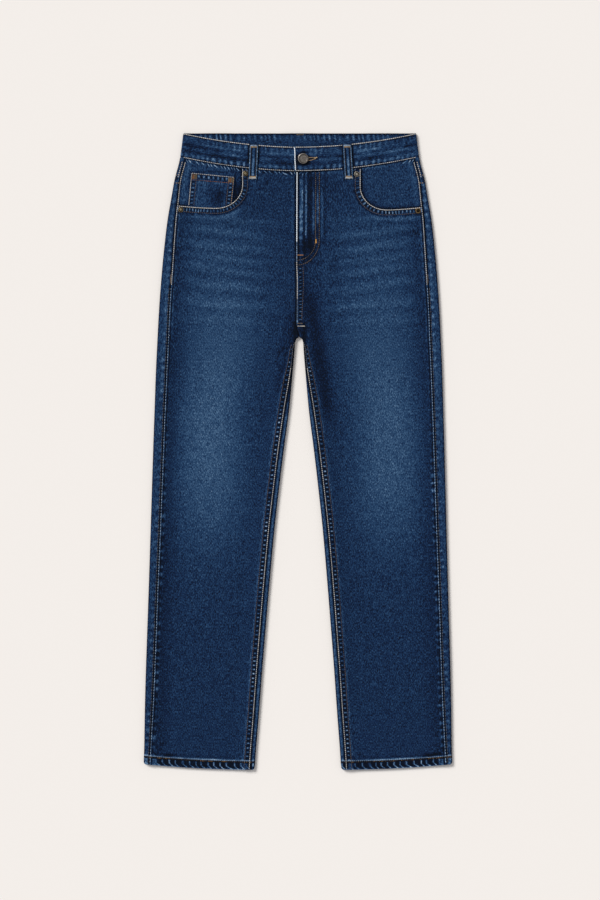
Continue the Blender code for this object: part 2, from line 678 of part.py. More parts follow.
def main() -> None:
    """Build the jeans."""
    for old in list(bpy.data.objects):
        bpy.data.objects.remove(old, do_unlink=True)
    denim = cloth_material("denim", (0.026, 0.056, 0.130), 0.9)
    tape = cloth_material("zip_tape", (0.012, 0.020, 0.045), 0.8)
    brass = cloth_material("antique_brass", (0.28, 0.19, 0.09), 0.45, 1.0)
    antique = cloth_material("antique_nickel", (0.20, 0.18, 0.165), 0.4, 1.0)
    panels(denim)
    pocket_facings(denim)
    coin_pocket(denim)
    fly_facing(denim)
    zip_tape(tape)
    waistband(denim)
    belt_loops(denim)
    back_pockets(denim)
    hardware(brass, antique)


main()
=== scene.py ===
"""Straight leg jeans laid flat on their back, with their cloth, sewing and metal fittings.

The surface is at z = 0, the waist points to +Y and the wearer's right leg lies at -X. A place on the cloth
is given by a distance out from the centre line and a drop below the waist's edge, both in metres.
"""

from __future__ import annotations

import logging
import math
from dataclasses import dataclass, field
from enum import Enum
from typing import Callable

import bpy
import numpy as np
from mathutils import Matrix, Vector
from mathutils.bvhtree import BVHTree


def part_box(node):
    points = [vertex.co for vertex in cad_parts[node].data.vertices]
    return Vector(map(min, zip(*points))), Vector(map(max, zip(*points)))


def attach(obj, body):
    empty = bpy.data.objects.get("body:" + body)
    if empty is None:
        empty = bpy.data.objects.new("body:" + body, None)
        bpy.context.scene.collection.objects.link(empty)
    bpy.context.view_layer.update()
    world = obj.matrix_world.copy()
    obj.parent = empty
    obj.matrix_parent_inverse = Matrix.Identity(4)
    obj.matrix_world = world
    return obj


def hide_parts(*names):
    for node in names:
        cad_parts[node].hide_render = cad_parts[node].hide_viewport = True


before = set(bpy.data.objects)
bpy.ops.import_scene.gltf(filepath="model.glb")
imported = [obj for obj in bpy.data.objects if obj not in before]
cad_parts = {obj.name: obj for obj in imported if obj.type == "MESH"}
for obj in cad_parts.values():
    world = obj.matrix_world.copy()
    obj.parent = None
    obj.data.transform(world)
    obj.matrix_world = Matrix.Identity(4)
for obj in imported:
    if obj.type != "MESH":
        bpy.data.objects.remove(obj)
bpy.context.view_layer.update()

log = logging.getLogger("jeans")

Array, Object, Material = np.ndarray, bpy.types.Object, bpy.types.Material

MM = 0.001

# The garment's cut
LENGTH = 1030 * MM
LEAN = 3 * MM
CLOTH = 1.1 * MM
HEM_CLOTH = 2.0 * MM
HEM = 14.5 * MM
BAND_CLOTH = 2.0 * MM
BAND = 39.5 * MM
GAP = 0.3 * MM
FOLD = 5.6 * MM
ROUND = FOLD / 2
CROTCH = 329.5 * MM
YOKE_SIDE = 72 * MM
YOKE_POINT = 39 * MM
WAIST_DIP = 22.2 * MM
WAIST_HALF = 190 * MM
HEM_SLANT = 9 * MM
HEM_CORNER = 4.5 * MM  # how far the turned-up cloth rounds the hem's corners
HIP_LEVEL = 3.0 * MM
FLY_SEAM = -5 * MM
FLY_TUCK = 4 * MM
FLY_TUCK_END, FLY_TUCK_RUN = 214 * MM, 14 * MM
FLY_WIDTH = 32 * MM
FLY_STRAIGHT = 174 * MM
FLY_END = 210 * MM
BAND_OVER_END = -7.7 * MM
BAND_UNDER_END = 30 * MM
END_LEAN = 1.5 * MM  # how far the band's end leans out at its top
MOUTH_RISE = 4 * MM
MOUTH_ROW_END = 172 * MM
FACING_MARGIN = 10 * MM
SAG_RUN = 40 * MM
CURL_START = 285 * MM
LIFT_RUN = 20 * MM
FACING_MORE, FACING_RUN = 12 * MM, 24 * MM
COIN_MORE, COIN_RUN = 10 * MM, 12 * MM
FLY_MORE = 14 * MM
PATCH_MORE = 16 * MM
SEAT_END = CROTCH - 5 * MM
ROW_GAP = 8.6 * MM  # between the two rows of a double-stitched seam

# Drop, centre line to the outer fold, outer fold to the side seam on top
SECTIONS = MM * np.array((
    (0, 188.5, 9.0), (43, 194.3, 9.0), (75, 202.4, 9.0), (108, 208.2, 11.0), (140, 213.6, 12.8),
    (189, 219.3, 15.0), (237, 223.6, 16.2), (286, 227.0, 16.6), (335, 229.5, 17.0), (383, 231.7, 17.0),
    (448, 233.8, 16.3), (513, 235.9, 16.0), (642, 239.6, 15.0), (740, 242.5, 14.0), (869, 246.5, 13.6),
    (934, 248.0, 12.5), (999, 248.9, 10.0), (1030, 249.7, 9.0),
))
# Drop, centre line to the inner fold, top of the inner fold to the inseam
GUSSETS = MM * np.array((
    (329.5, 0.15, 0.0), (332.5, 4.3, 0.0), (339, 6.5, 0.0), (351, 7.3, 0.0), (383, 10.0, 0.4),
    (448, 16.0, 5.0), (513, 24.4, 5.8), (577, 32.0, 5.9), (642, 39.1, 6.0), (740, 47.8, 6.0),
    (804, 53.0, 5.9), (869, 58.2, 5.7), (934, 62.9, 5.5), (999, 68.0, 5.3), (1030, 70.0, 5.2),
))
WRAPPED = GUSSETS[3, 0]

RIGHT, LEFT = -1, 1
WORDS = {RIGHT: "right", LEFT: "left"}


class Face(Enum):
    """The face of the garment that a seam is sewn on."""

    TOP = -1
    UNDERSIDE = 1


@dataclass(frozen=True)
class Mouth:
    """One front pocket's mouth."""

    inner: float
    straight: float
    depth: float
    corner: float


MOUTHS = {
    RIGHT: Mouth(93 * MM, 84 * MM, 121 * MM, 42 * MM),
    LEFT: Mouth(99 * MM, 86 * MM, 123.5 * MM, 42 * MM),
}


@dataclass(frozen=True)
class Loop:
    """One belt loop: its middle's distance from the centre line at its upper and lower end."""

    name: str
    side: int
    top: float
    bottom: float


FRONT_LOOPS = (
    Loop("belt_loop_front_right", RIGHT, 74 * MM, 76 * MM),
    Loop("belt_loop_front_left", LEFT, 76.5 * MM, 80 * MM),
)
BACK_LOOPS = (
    Loop("belt_loop_back_right", RIGHT, 134 * MM, 134 * MM),
    Loop("belt_loop_centre_back", LEFT, 0.0, 0.0),
    Loop("belt_loop_back_left", LEFT, 134 * MM, 134 * MM),
)


@dataclass(frozen=True)
class Coin:
    """The coin pocket's outline."""

    inner: float = 104.8 * MM
    outer: float = 175.6 * MM
    top_inner: float = 70.6 * MM
    top_outer: float = 63.5 * MM
    taper: float = 5.5 * MM
    bottom: float = 124 * MM


@dataclass(frozen=True)
class Patch:
    """A back pocket's outline."""

    inner: float = 38 * MM
    outer: float = 172 * MM
    top_inner: float = 129 * MM
    top_outer: float = 105 * MM
    side: float = 272 * MM
    point: float = 16 * MM
    taper: float = 8 * MM


COIN, PATCH = Coin(), Patch()
LOOP_WIDTH, LOOP_CLOTH, LOOP_ARCH = 13 * MM, 1.0 * MM, 0.9 * MM
LOOP_ABOVE, LOOP_BELOW = 1 * MM, 17 * MM
LOOP_ROWS = (-4.7 * MM, 4.7 * MM)  # a loop's two rows of stitching, from its middle
PATH_STEP = 3 * MM  # between the points of a seam's path
OUT_OF_REACH = 9.0  # farther from a line than any place of the garment
SUNK = -0.05 * MM  # the floor lies a hair lower than the garment's underside


# Curves of the cut


def plan(side: int, out: Array, drop: Array) -> Array:
    """Places in plan, as (x, y) points."""
    out, drop = np.broadcast_arrays(out, drop)
    return np.stack([LEAN * (1 - drop / LENGTH) + side * out, LENGTH / 2 - drop], axis=-1)


def ease(share: Array) -> Array:
    """Smooth step from 0 to 1."""
    share = np.clip(share, 0.0, 1.0)
    return share * share * (3 - 2 * share)


def blend(start: Array, end: Array, share: Array) -> Array:
    """The value a share of the way from start to end."""
    return start + (end - start) * share


def bell(distance: Array, spread: float) -> Array:
    """1 at no distance, falling smoothly to nothing some three spreads away."""
    return np.exp(-0.5 * (distance / spread) ** 2)


def plateau(value: Array, low: float, high: float, run: float = LIFT_RUN) -> Array:
    """1 from low to high, easing to 0 a run outside them."""
    return ease(1 - np.maximum(np.maximum(low - value, value - high), 0.0) / run)


def read(table: Array, column: int, drop: Array) -> Array:
    """A table's column at some drops, on a smooth curve through its rows.

    Args:
        table: Rows of a drop and its sizes.
        column: Which size.
        drop: Where to read it.

    Returns:
        The size at each drop.
    """
    drops, sizes = table[:, 0], table[:, column]
    last = len(drops) - 1
    place = np.clip(np.searchsorted(drops, drop, side="right") - 1, 0, last - 1)
    before, after = np.maximum(place - 1, 0), np.minimum(place + 2, last)
    x1, x2, y1, y2 = drops[place], drops[place + 1], sizes[place], sizes[place + 1]
    share = np.clip((drop - x1) / (x2 - x1), 0.0, 1.0)
    leave = (y2 - sizes[before]) / (x2 - drops[before]) * (x2 - x1)
    arrive = (sizes[after] - y1) / (drops[after] - x1) * (x2 - x1)
    return (y1 * (1 + 2 * share) * (1 - share) ** 2 + leave * share * (1 - share) ** 2
            + y2 * share ** 2 * (3 - 2 * share) - arrive * share ** 2 * (1 - share))


def outer_fold(drop: Array) -> Array:
    """Centre line to the outer fold."""
    return read(SECTIONS, 1, drop)


def side_seam(drop: Array) -> Array:
    """Centre line to the side seam on top."""
    return outer_fold(drop) - read(SECTIONS, 2, drop)


def inner_fold(drop: Array) -> Array:
    """Centre line to the inner fold."""
    return read(GUSSETS, 1, drop)


def inseam(drop: Array) -> Array:
    """Centre line to the inseam on top.

    Args:
        drop: Drops.

    Returns:
        Its distance out at each drop.
    """
    run = seam_run(drop)
    return inner_fold(drop) + ROUND - ROUND * np.sin(np.minimum(run / ROUND, math.pi)) + np.maximum(
        run - ROUND * math.pi, 0.0)


def front_seam(drop: Array) -> Array:
    """The front's centre seam beside the centre line."""
    below_fly = blend(0.8, 1.0, ease((FLY_END - drop) / (1.5 * LIFT_RUN) + 1))
    return FLY_SEAM * below_fly * ease((CROTCH - drop) / LIFT_RUN)


def waist_dip(out: Array) -> Array:
    """Drop of the front waist's edge."""
    return WAIST_DIP * (1 - np.minimum(np.abs(out) / WAIST_HALF, 1.0) ** 1.85)


def band_foot(out: Array) -> Array:
    """Drop of the front band's lower edge."""
    return waist_dip(out) + BAND


def hem_rise(out: Array, drop: Array) -> Array:
    """How much a level line of the leg has risen near the hem.

    Args:
        out: Distances out.
        drop: Drops.

    Returns:
        The rise at each place.
    """
    inner, outer = inner_fold(drop), outer_fold(drop)
    across = np.clip((outer - out) / (outer - inner), 0.0, 1.0)
    slant = HEM_SLANT * (1 - across) ** 2 * ease((drop - 0.7 * LENGTH) / (0.3 * LENGTH))
    short = HEM_CORNER - np.clip(np.minimum(outer - out, out - inner), 0.0, HEM_CORNER)
    corner = HEM_CORNER - np.sqrt(HEM_CORNER ** 2 - short ** 2)
    return slant + corner * ease(1 - (LENGTH - drop) / (0.8 * HEM))


def cloth_at(drop: Array) -> Array:
    """Thickness of a leg's wall."""
    return np.where(drop > LENGTH - HEM, HEM_CLOTH, CLOTH)


def closing(drop: Array) -> Array:
    """How far front and back have turned towards each other above the crotch."""
    return ease((drop - CURL_START) / (CROTCH - CURL_START))


def sag(drop: Array) -> Array:
    """How far the front lies below the height of the folds.

    Args:
        drop: Drops.

    Returns:
        How far at each drop.
    """
    hip = FOLD - CLOTH - HIP_LEVEL
    leg = FOLD - 2 * CLOTH - 1.4 * GAP
    hem = FOLD - 2 * HEM_CLOTH - 1.4 * GAP
    before_hem = hem + HEM_CLOTH - CLOTH
    near = ease((drop - 0.87 * LENGTH) / (0.13 * LENGTH - HEM))
    above = blend(blend(hip, leg, ease((drop - CURL_START) / (0.13 * LENGTH))), before_hem, near)
    return np.where(drop > LENGTH - HEM, hem, above)


def top_height(side: int, out: Array, drop: Array) -> Array:
    """Upper face of the front wall, without what lies under it.

    Args:
        side: RIGHT or LEFT.
        out: Distances out.
        drop: Drops.

    Returns:
        The height at each place.
    """
    from_outer = ease((outer_fold(drop) - ROUND - out) / SAG_RUN)
    above = drop < CROTCH
    edge = np.where(above, side * front_seam(drop), inner_fold(drop)) + ROUND
    share = np.where(above, closing(drop), 1.0)
    return FOLD - sag(drop) * from_outer * (1 - share * (1 - ease((out - edge) / SAG_RUN)))


def front_lift(side: int, out: Array, drop: Array) -> Array:
    """How far the front is raised by the facings and the coin pocket under it.

    Args:
        side: RIGHT or LEFT.
        out: Distances out.
        drop: Drops.

    Returns:
        The lift at each place.
    """
    mouth = MOUTHS[side]
    across = np.maximum(mouth.inner + mouth.corner - out, 0.0) / (mouth.corner + FACING_MARGIN)
    tall = mouth.depth - mouth.straight + FACING_MARGIN
    outside = tall * (np.hypot(across, np.maximum(drop - mouth.straight, 0.0) / tall) - 1)
    lift = ease(1 - (outside - FACING_MORE) / FACING_RUN)
    if side == RIGHT:
        lift = lift + (plateau(out, COIN.inner - COIN_MORE, COIN.outer + COIN.taper + COIN_MORE, COIN_RUN)
                       * plateau(drop, 0.0, COIN.bottom + COIN_MORE))
    else:
        lift = lift + (plateau(out, -FLY_WIDTH, FLY_WIDTH + FLY_MORE)
                       * plateau(drop, 0.0, FLY_END + FLY_MORE / 2, 1.5 * LIFT_RUN))
    return lift * (CLOTH + GAP)


def patch_top(out: Array) -> Array:
    """Drop of a back pocket's upper edge."""
    return blend(PATCH.top_inner, PATCH.top_outer, (out - PATCH.inner) / (PATCH.outer - PATCH.inner))


def coin_place(share: Array, down: Array) -> tuple:
    """Distance out and drop of a place on the coin pocket, by its shares of the way out and down."""
    top = blend(COIN.top_inner, COIN.top_outer, share)
    return blend(COIN.inner, COIN.outer, share) + COIN.taper * down, blend(top, COIN.bottom, down)


def loop_place(loop: Loop, share: Array) -> tuple:
    """Distance out and drop of a front loop's middle, a share of the way down it."""
    middle = blend(loop.top, loop.bottom, share)
    return middle, waist_dip(middle) + blend(LOOP_ABOVE, BAND + LOOP_BELOW, share)


def back_lift(side: int, out: Array, drop: Array) -> Array:
    """How far the back is raised by the patch pocket and the belt loops under it.

    Args:
        side: RIGHT or LEFT.
        out: Distances out.
        drop: Drops.

    Returns:
        The lift at each place.
    """
    patch = plateau(out, PATCH.inner - PATCH_MORE, PATCH.outer + PATCH_MORE) * plateau(
        drop, patch_top(out) - LIFT_RUN, PATCH.side + PATCH.point + PATCH_MORE)
    loops = np.maximum.reduce([plateau(side * out, loop.side * loop.top - LOOP_WIDTH,
                                       loop.side * loop.top + LOOP_WIDTH) for loop in BACK_LOOPS])
    loops = loops * plateau(drop, 0.0, BAND + LOOP_BELOW)
    return np.maximum(patch * (CLOTH + GAP), loops * (LOOP_CLOTH + GAP))


def turn(run: Array, drop: Array) -> tuple:
    """How far an inner edge has come in and up after a run along it, and its angle.

    Args:
        run: Runs along the edge, from where the flat ends.
        drop: Drops.

    Returns:
        Both distances and the angle.
    """
    legs = drop >= CROTCH
    total = np.where(legs, math.pi, np.maximum(closing(drop) * math.pi / 2, 0.001))
    radius = np.where(legs, ROUND, ROUND * math.pi / 2 / total)
    angle = np.minimum(np.maximum(run, 0.0) / radius, total)
    come_in = np.where(run > 0, radius * np.sin(angle), run)
    return come_in, radius * (1 - np.cos(angle)), angle


def seam_run(drop: Array) -> Array:
    """Length of a back's inner edge past the flat, up to the seam that joins it to the front."""
    come_over = ROUND * math.pi / 2 * (1 + ease((drop - CROTCH) / (WRAPPED - CROTCH)))
    return np.where(drop <= CROTCH, ROUND * math.pi / 2, come_over + read(GUSSETS, 2, drop))


def inner_start(side_limit: Array, drop: Array) -> Array:
    """Where the flat ends and the inner edge starts to turn."""
    curled = side_limit + turn(np.full_like(drop, ROUND * math.pi / 2), drop)[0]
    return np.where(drop >= CROTCH, inner_fold(drop) + ROUND, curled)


def mouth_edge(side: int, count: int) -> Array:
    """Evenly spaced points (distance out, drop) along a pocket's mouth, from the band to the side seam.

    Args:
        side: RIGHT or LEFT.
        count: How many points to return.

    Returns:
        The points.
    """
    mouth = MOUTHS[side]
    points = [(mouth.inner, band_foot(mouth.inner) + GAP), (mouth.inner, mouth.straight)]
    for angle in np.linspace(0, math.pi / 2, 25)[1:]:
        points.append((mouth.inner + mouth.corner * (1 - math.cos(angle)),
                       mouth.straight + (mouth.depth - mouth.straight) * math.sin(angle)))
    end_drop = mouth.depth - MOUTH_RISE
    end_out = side_seam(end_drop) - GAP / 2
    start_out = points[-1][0]
    for share in np.linspace(0, 1, 13)[1:]:
        points.append((blend(start_out, end_out, share), mouth.depth - MOUTH_RISE * share ** 1.6))
    return evenly(np.array(points), count)


def evenly(points: Array, count: int) -> Array:
    """A polyline's points spaced evenly along it.

    Args:
        points: The polyline.
        count: How many points to return.

    Returns:
        The points, ends included.
    """
    run = np.concatenate(([0.0], np.cumsum(np.linalg.norm(np.diff(points, axis=0), axis=1))))
    places = np.linspace(0, run[-1], count)
    return np.stack([np.interp(places, run, points[:, axis]) for axis in range(points.shape[1])], axis=1)


J_ROWS = ((30 * MM, 31.7 * MM), (36 * MM, 39.4 * MM))  # width and height of the bends of the fly's two rows


def fly_j(wide: float, tall: float) -> Array:
    """Points (distance out, drop) along one row of the fly's J, from the band to the front seam.

    Args:
        wide: The bend's width.
        tall: The bend's height.

    Returns:
        The points.
    """
    angles = np.linspace(0, math.pi / 2, 24)
    bend = np.stack([-4 * MM + wide * np.cos(angles), FLY_STRAIGHT + tall * np.sin(angles)], axis=1)
    return np.concatenate([[(wide - 4 * MM, band_foot(30 * MM) + 1.5 * MM)], bend])


def nearest(out: Array, drop: Array, line: Array) -> tuple:
    """Distance to a polyline and the run along it, for each place.

    Args:
        out: Distances out.
        drop: Drops.
        line: The polyline's (distance out, drop) points.

    Returns:
        The distance and the run along the line.
    """
    run = np.concatenate(([0.0], np.cumsum(np.linalg.norm(np.diff(line, axis=0), axis=1))))
    best = np.full(out.shape, 1e9)
    along = np.zeros(out.shape)
    for i in range(len(line) - 1):
        a, step = line[i], line[i + 1] - line[i]
        share = np.clip(((out - a[0]) * step[0] + (drop - a[1]) * step[1]) / (step @ step), 0, 1)
        far = np.hypot(out - a[0] - share * step[0], drop - a[1] - share * step[1])
        closer = far < best
        best = np.where(closer, far, best)
        along = np.where(closer, run[i] + share * np.linalg.norm(step), along)
    return best, along


def wander(run: Array, seed: float) -> Array:
    """A slow uneven wave between about -1 and 1, for folds and puckers that no two of are alike."""
    return (0.5 * np.sin(run / (31 * MM) + 1.7 * seed) + 0.3 * np.sin(run / (13.3 * MM) + 2.9 * seed + 1)
            + 0.2 * np.sin(run / (7.1 * MM) + 0.6 * seed))


# Finishes


def hex_linear(code: str) -> tuple:
    """An sRGB hex colour as linear red, green, blue and alpha."""
    parts = [int(code[i:i + 2], 16) / 255 for i in (1, 3, 5)]
    return (*[p / 12.92 if p <= 0.04045 else ((p + 0.055) / 1.055) ** 2.4 for p in parts], 1.0)


def plug(node: bpy.types.Node, inputs: dict) -> None:
    """Fill a node's inputs with values or links.

    Args:
        node: The node.
        inputs: Values, sockets or nodes for the inputs; a node stands for its first output.
    """
    for socket, value in inputs.items():
        if isinstance(value, bpy.types.Node):
            value = value.outputs[0]
        if isinstance(value, bpy.types.NodeSocket):
            node.id_data.links.new(value, node.inputs[socket])
        else:
            node.inputs[socket].default_value = value


def add_node(tree: bpy.types.NodeTree, kind: str, inputs: dict | None = None, **settings) -> bpy.types.Node:
    """Add a shader node with its settings, input values and links.

    Args:
        tree: The material's node tree.
        kind: The node's type name, without the ShaderNode before it.
        inputs: Values, sockets or nodes for the inputs.
        **settings: The node's own properties.

    Returns:
        The node.
    """
    node = tree.nodes.new(f"ShaderNode{kind}")
    for name, value in settings.items():
        setattr(node, name, value)
    plug(node, inputs or {})
    return node


@dataclass(frozen=True)
class Finish:
    """What every finish starts with; each kind adds its own colour, gloss and relief."""

    name: str

    def material(self) -> Material:
        """The finish as a material.

        Returns:
            The material.
        """
        material = bpy.data.materials.new(self.name)
        material.use_nodes = True
        tree = material.node_tree
        place = add_node(tree, "TexCoord").outputs["Object"]
        plug(tree.nodes["Principled BSDF"], self.coat(tree, place))
        return material

    def coat(self, tree: bpy.types.NodeTree, place: bpy.types.NodeSocket) -> dict:
        """Add the finish's own nodes.

        Args:
            tree: The material's node tree.
            place: The place on the piece, which patterns read.

        Returns:
            The shader's inputs.
        """
        raise NotImplementedError


@dataclass(frozen=True)
class Denim(Finish):
    """Washed indigo denim: blue warp over pale weft in a 3/1 twill, faded where it was sanded and rubbed.

    The eye sees a matt, grainy blue with short pale flecks along the warp.
    """

    warp_angle: float = 0.0  # from the length of the leg, about Z
    grain: tuple = (1.0 * MM, 3.0 * MM)  # across and along; real yarns are 0.4 mm: drawn coarser, to show
    slub: tuple = (1.6 * MM, 9 * MM)  # thick places in the warp yarns
    weft: tuple = (7 * MM, 1.3 * MM)
    cloud: float = 15 * MM  # uneven dye
    weights: tuple = (4.1, 0.7, 0.5, 0.45)  # how much each of those four shows
    # The darkest stops serve mostly the shade painted beside seams and under edges
    stops: tuple = (
        (0.0, "#020917"), (0.15, "#05132b"), (0.25, "#0b2041"), (0.375, "#193658"), (0.5, "#2a4768"),
        (0.66, "#496888"), (0.82, "#7b95ae"), (1.0, "#abbac8"),
    )

    def coat(self, tree: bpy.types.NodeTree, place: bpy.types.NodeSocket) -> dict:
        """The denim's nodes, which read a piece's fade and painted shade, rope and phase attributes.

        Args:
            tree: The material's node tree.
            place: The place on the piece, which patterns read.

        Returns:
            The shader's inputs.
        """
        warp = add_node(tree, "Mapping", {"Vector": place, "Rotation": (0, 0, self.warp_angle)})
        noises = []
        for across, along, detail in ((*self.grain, 1.0), (*self.slub, 1.0), (*self.weft, 1.0),
                                      (self.cloud, self.cloud, 3.0)):
            drawn = add_node(tree, "Mapping",
                             {"Vector": warp, "Scale": (1 / across, 1 / along, 0.3 / across)})
            noises.append(add_node(tree, "TexNoise",
                                   {"Vector": drawn, "Scale": 1.0, "Detail": detail, "Roughness": 0.6}))
        grain, slub, _, cloud = noises
        fade, rope, phase = (add_node(tree, "Attribute", attribute_name=name).outputs["Fac"]
                             for name in ("fade", "rope", "phase"))
        # Pale marks where a roped seam stands proud: a narrow crest in each turn of the phase
        turned = add_node(tree, "Math", {0: phase, 1: 2 * math.pi}, operation="MULTIPLY")
        wave = add_node(tree, "Math", {0: turned}, operation="COSINE")
        half = add_node(tree, "Math", {0: wave, 1: 0.5, 2: 0.5}, operation="MULTIPLY_ADD")
        sharp = add_node(tree, "Math", {0: half, 1: 2.0}, operation="POWER")
        crest = add_node(tree, "Math", {0: sharp, 1: 1.35, 2: -0.35}, operation="MULTIPLY_ADD")
        uneven = add_node(tree, "MapRange", {"Value": cloud, "From Min": 0.3, "From Max": 0.7,
                                                       "To Min": 0.65, "To Max": 1.2})
        mark = add_node(tree, "Math", {0: crest, 1: rope}, operation="MULTIPLY")
        total = add_node(tree, "Math", {0: mark, 1: uneven, 2: fade}, operation="MULTIPLY_ADD")
        for pattern, weight in zip(noises, self.weights):
            centred = add_node(tree, "Math", {0: pattern, 1: -0.5}, operation="ADD")
            total = add_node(tree, "Math", {0: centred, 1: weight, 2: total}, operation="MULTIPLY_ADD")
        level = add_node(tree, "MapRange", {"Value": total, "From Min": -1.0, "From Max": 3.0})
        ramp = add_node(tree, "ValToRGB", {"Fac": level})
        while len(ramp.color_ramp.elements) < len(self.stops):
            ramp.color_ramp.elements.new(0.5)
        for element, (spot, code) in zip(ramp.color_ramp.elements, self.stops):
            element.position, element.color = spot, hex_linear(code)
        rough = add_node(tree, "MapRange", {"Value": grain, "From Min": 0.2, "From Max": 0.8,
                                                      "To Min": 0.78, "To Max": 0.95})
        raised = add_node(tree, "Math", {0: slub, 1: 0.7, 2: grain}, operation="MULTIPLY_ADD")
        bump = add_node(tree, "Bump", {"Height": raised, "Strength": 0.5, "Distance": 0.4 * MM})
        return {"Base Color": ramp, "Roughness": rough, "Normal": bump, "Specular IOR Level": 0.06,
                "Sheen Weight": 0.03, "Sheen Roughness": 0.6}


@dataclass(frozen=True)
class Thread(Finish):
    """Core-spun polyester topstitching thread: three plies twisted, with a soft gloss."""

    colour: str
    dark: str
    ply: float = 1.4 * MM  # real plies turn every 0.8 mm: drawn coarser, so that they show
    rubbed: float = 9 * MM  # the size of its worn places
    worn_from: float = 0.72  # lower where more of the thread has kept its colour

    def coat(self, tree: bpy.types.NodeTree, place: bpy.types.NodeSocket) -> dict:
        """The thread's nodes.

        Args:
            tree: The material's node tree.
            place: The place on the piece, which patterns read.

        Returns:
            The shader's inputs.
        """
        fibre, worn = (add_node(tree, "TexNoise", {"Vector": place, "Scale": 1 / size, "Detail": 2.0})
                       for size in (self.ply, self.rubbed))
        both = add_node(tree, "Math", {0: fibre, 1: worn}, operation="ADD")
        level = add_node(tree, "MapRange", {"Value": both, "From Min": self.worn_from, "From Max": 1.2})
        ramp = add_node(tree, "ValToRGB", {"Fac": level})
        for element, code in zip(ramp.color_ramp.elements, (self.dark, self.colour)):
            element.color = hex_linear(code)
        rough = add_node(tree, "MapRange", {"Value": fibre, "To Min": 0.5, "To Max": 0.75})
        bump = add_node(tree, "Bump", {"Height": fibre, "Strength": 0.4, "Distance": 0.15 * MM})
        return {"Base Color": ramp, "Roughness": rough, "Normal": bump, "Specular IOR Level": 0.35}


@dataclass(frozen=True)
class AntiqueMetal(Finish):
    """Stamped brass, plated and tumbled: dull in its hollows, bright where it is rubbed."""

    bright: str
    dull: str
    grain: float = 1.6 * MM  # tumbling marks

    def coat(self, tree: bpy.types.NodeTree, place: bpy.types.NodeSocket) -> dict:
        """The metal's nodes.

        Args:
            tree: The material's node tree.
            place: The place on the piece, which patterns read.

        Returns:
            The shader's inputs.
        """
        patina = add_node(tree, "TexNoise", {"Vector": place, "Scale": 1 / self.grain, "Detail": 4.0,
                                                       "Roughness": 0.65})
        level = add_node(tree, "MapRange", {"Value": patina, "From Min": 0.35, "From Max": 0.65})
        ramp = add_node(tree, "ValToRGB", {"Fac": level})
        for element, code in zip(ramp.color_ramp.elements, (self.dull, self.bright)):
            element.color = hex_linear(code)
        rough = add_node(tree, "MapRange", {"Value": patina, "From Min": 0.3, "From Max": 0.7,
                                                      "To Min": 0.55, "To Max": 0.3})
        bump = add_node(tree, "Bump", {"Height": patina, "Strength": 0.5, "Distance": 0.12 * MM})
        return {"Base Color": ramp, "Roughness": rough, "Normal": bump, "Metallic": 1.0}


@dataclass(frozen=True)
class ZipTape(Finish):
    """Woven polyester tape: a fine matt rib along its length."""

    name: str = "woven_zip_tape"
    rib: float = 1.5 * MM  # real ribs are 0.6 mm apart: drawn coarser, so that they show

    def coat(self, tree: bpy.types.NodeTree, place: bpy.types.NodeSocket) -> dict:
        """The tape's nodes.

        Args:
            tree: The material's node tree.
            place: The place on the piece, which patterns read.

        Returns:
            The shader's inputs.
        """
        wave = add_node(tree, "TexWave", {"Vector": place, "Scale": 0.314 / self.rib, "Distortion": 0.5},
                        wave_type="BANDS", bands_direction="X").outputs["Fac"]
        ramp = add_node(tree, "ValToRGB", {"Fac": wave})
        for element, code in zip(ramp.color_ramp.elements, ("#0c1526", "#1c2a44")):
            element.color = hex_linear(code)
        bump = add_node(tree, "Bump", {"Height": wave, "Strength": 0.6, "Distance": 0.2 * MM})
        return {"Base Color": ramp, "Roughness": 0.8, "Normal": bump}


# Cloth


@dataclass
class Grid:
    """Places over one piece of cloth, row by row, with its outer face's height and lean.

    A single value stands for the whole piece.
    """

    side: Array
    out: Array
    drop: Array
    height: Array
    lean_out: Array
    lean_up: Array
    thick: Array

    @classmethod
    def level(cls, side: int, out: Array, drop: Array, height: Array, thick: float = CLOTH,
              up: float = 1.0) -> Grid:
        """A piece that lies level, with its outer face up, or down where up is -1."""
        return cls(side, *np.broadcast_arrays(out, drop, height), 0.0, up, thick)

    def points(self, raise_by: Array = 0.0) -> Array:
        """The outer face moved along its lean.

        Args:
            raise_by: How far each place moves outwards.

        Returns:
            Points in space, rows by columns by 3.
        """
        flat = plan(self.side, self.out + raise_by * self.lean_out, self.drop)
        height = np.broadcast_to(self.height + raise_by * self.lean_up, flat.shape[:2])
        return np.concatenate([flat, height[..., None]], axis=-1)


def join(stretches: list) -> list:
    """Stretches of a grid set side by side, each a tuple of values that share a shape."""
    columns = zip(*(np.broadcast_arrays(*stretch) for stretch in stretches))
    return [np.concatenate(values, axis=1) for values in columns]


def add_piece(name: str, mesh: bpy.types.Mesh, finish: Material) -> Object:
    """Put a mesh on the part's one body, with its finish.

    Args:
        name: Its name.
        mesh: Its mesh.
        finish: Its finish.

    Returns:
        The piece's object.
    """
    mesh.materials.append(finish)
    piece = bpy.data.objects.new(name, mesh)
    bpy.context.collection.objects.link(piece)
    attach(piece, "root")
    return piece


def copies(name: str, faces: list, places: list) -> bpy.types.Mesh:
    """One mesh of many copies of a small shape, given by its faces and each copy's points.

    Args:
        name: Its name.
        faces: The shape's faces.
        places: Each copy's points.

    Returns:
        The mesh.
    """
    count = len(places[0])
    mesh = bpy.data.meshes.new(name)
    mesh.from_pydata(np.concatenate(places).tolist(), [],
                     [tuple(i * count + v for v in face) for i in range(len(places)) for face in faces])
    return mesh
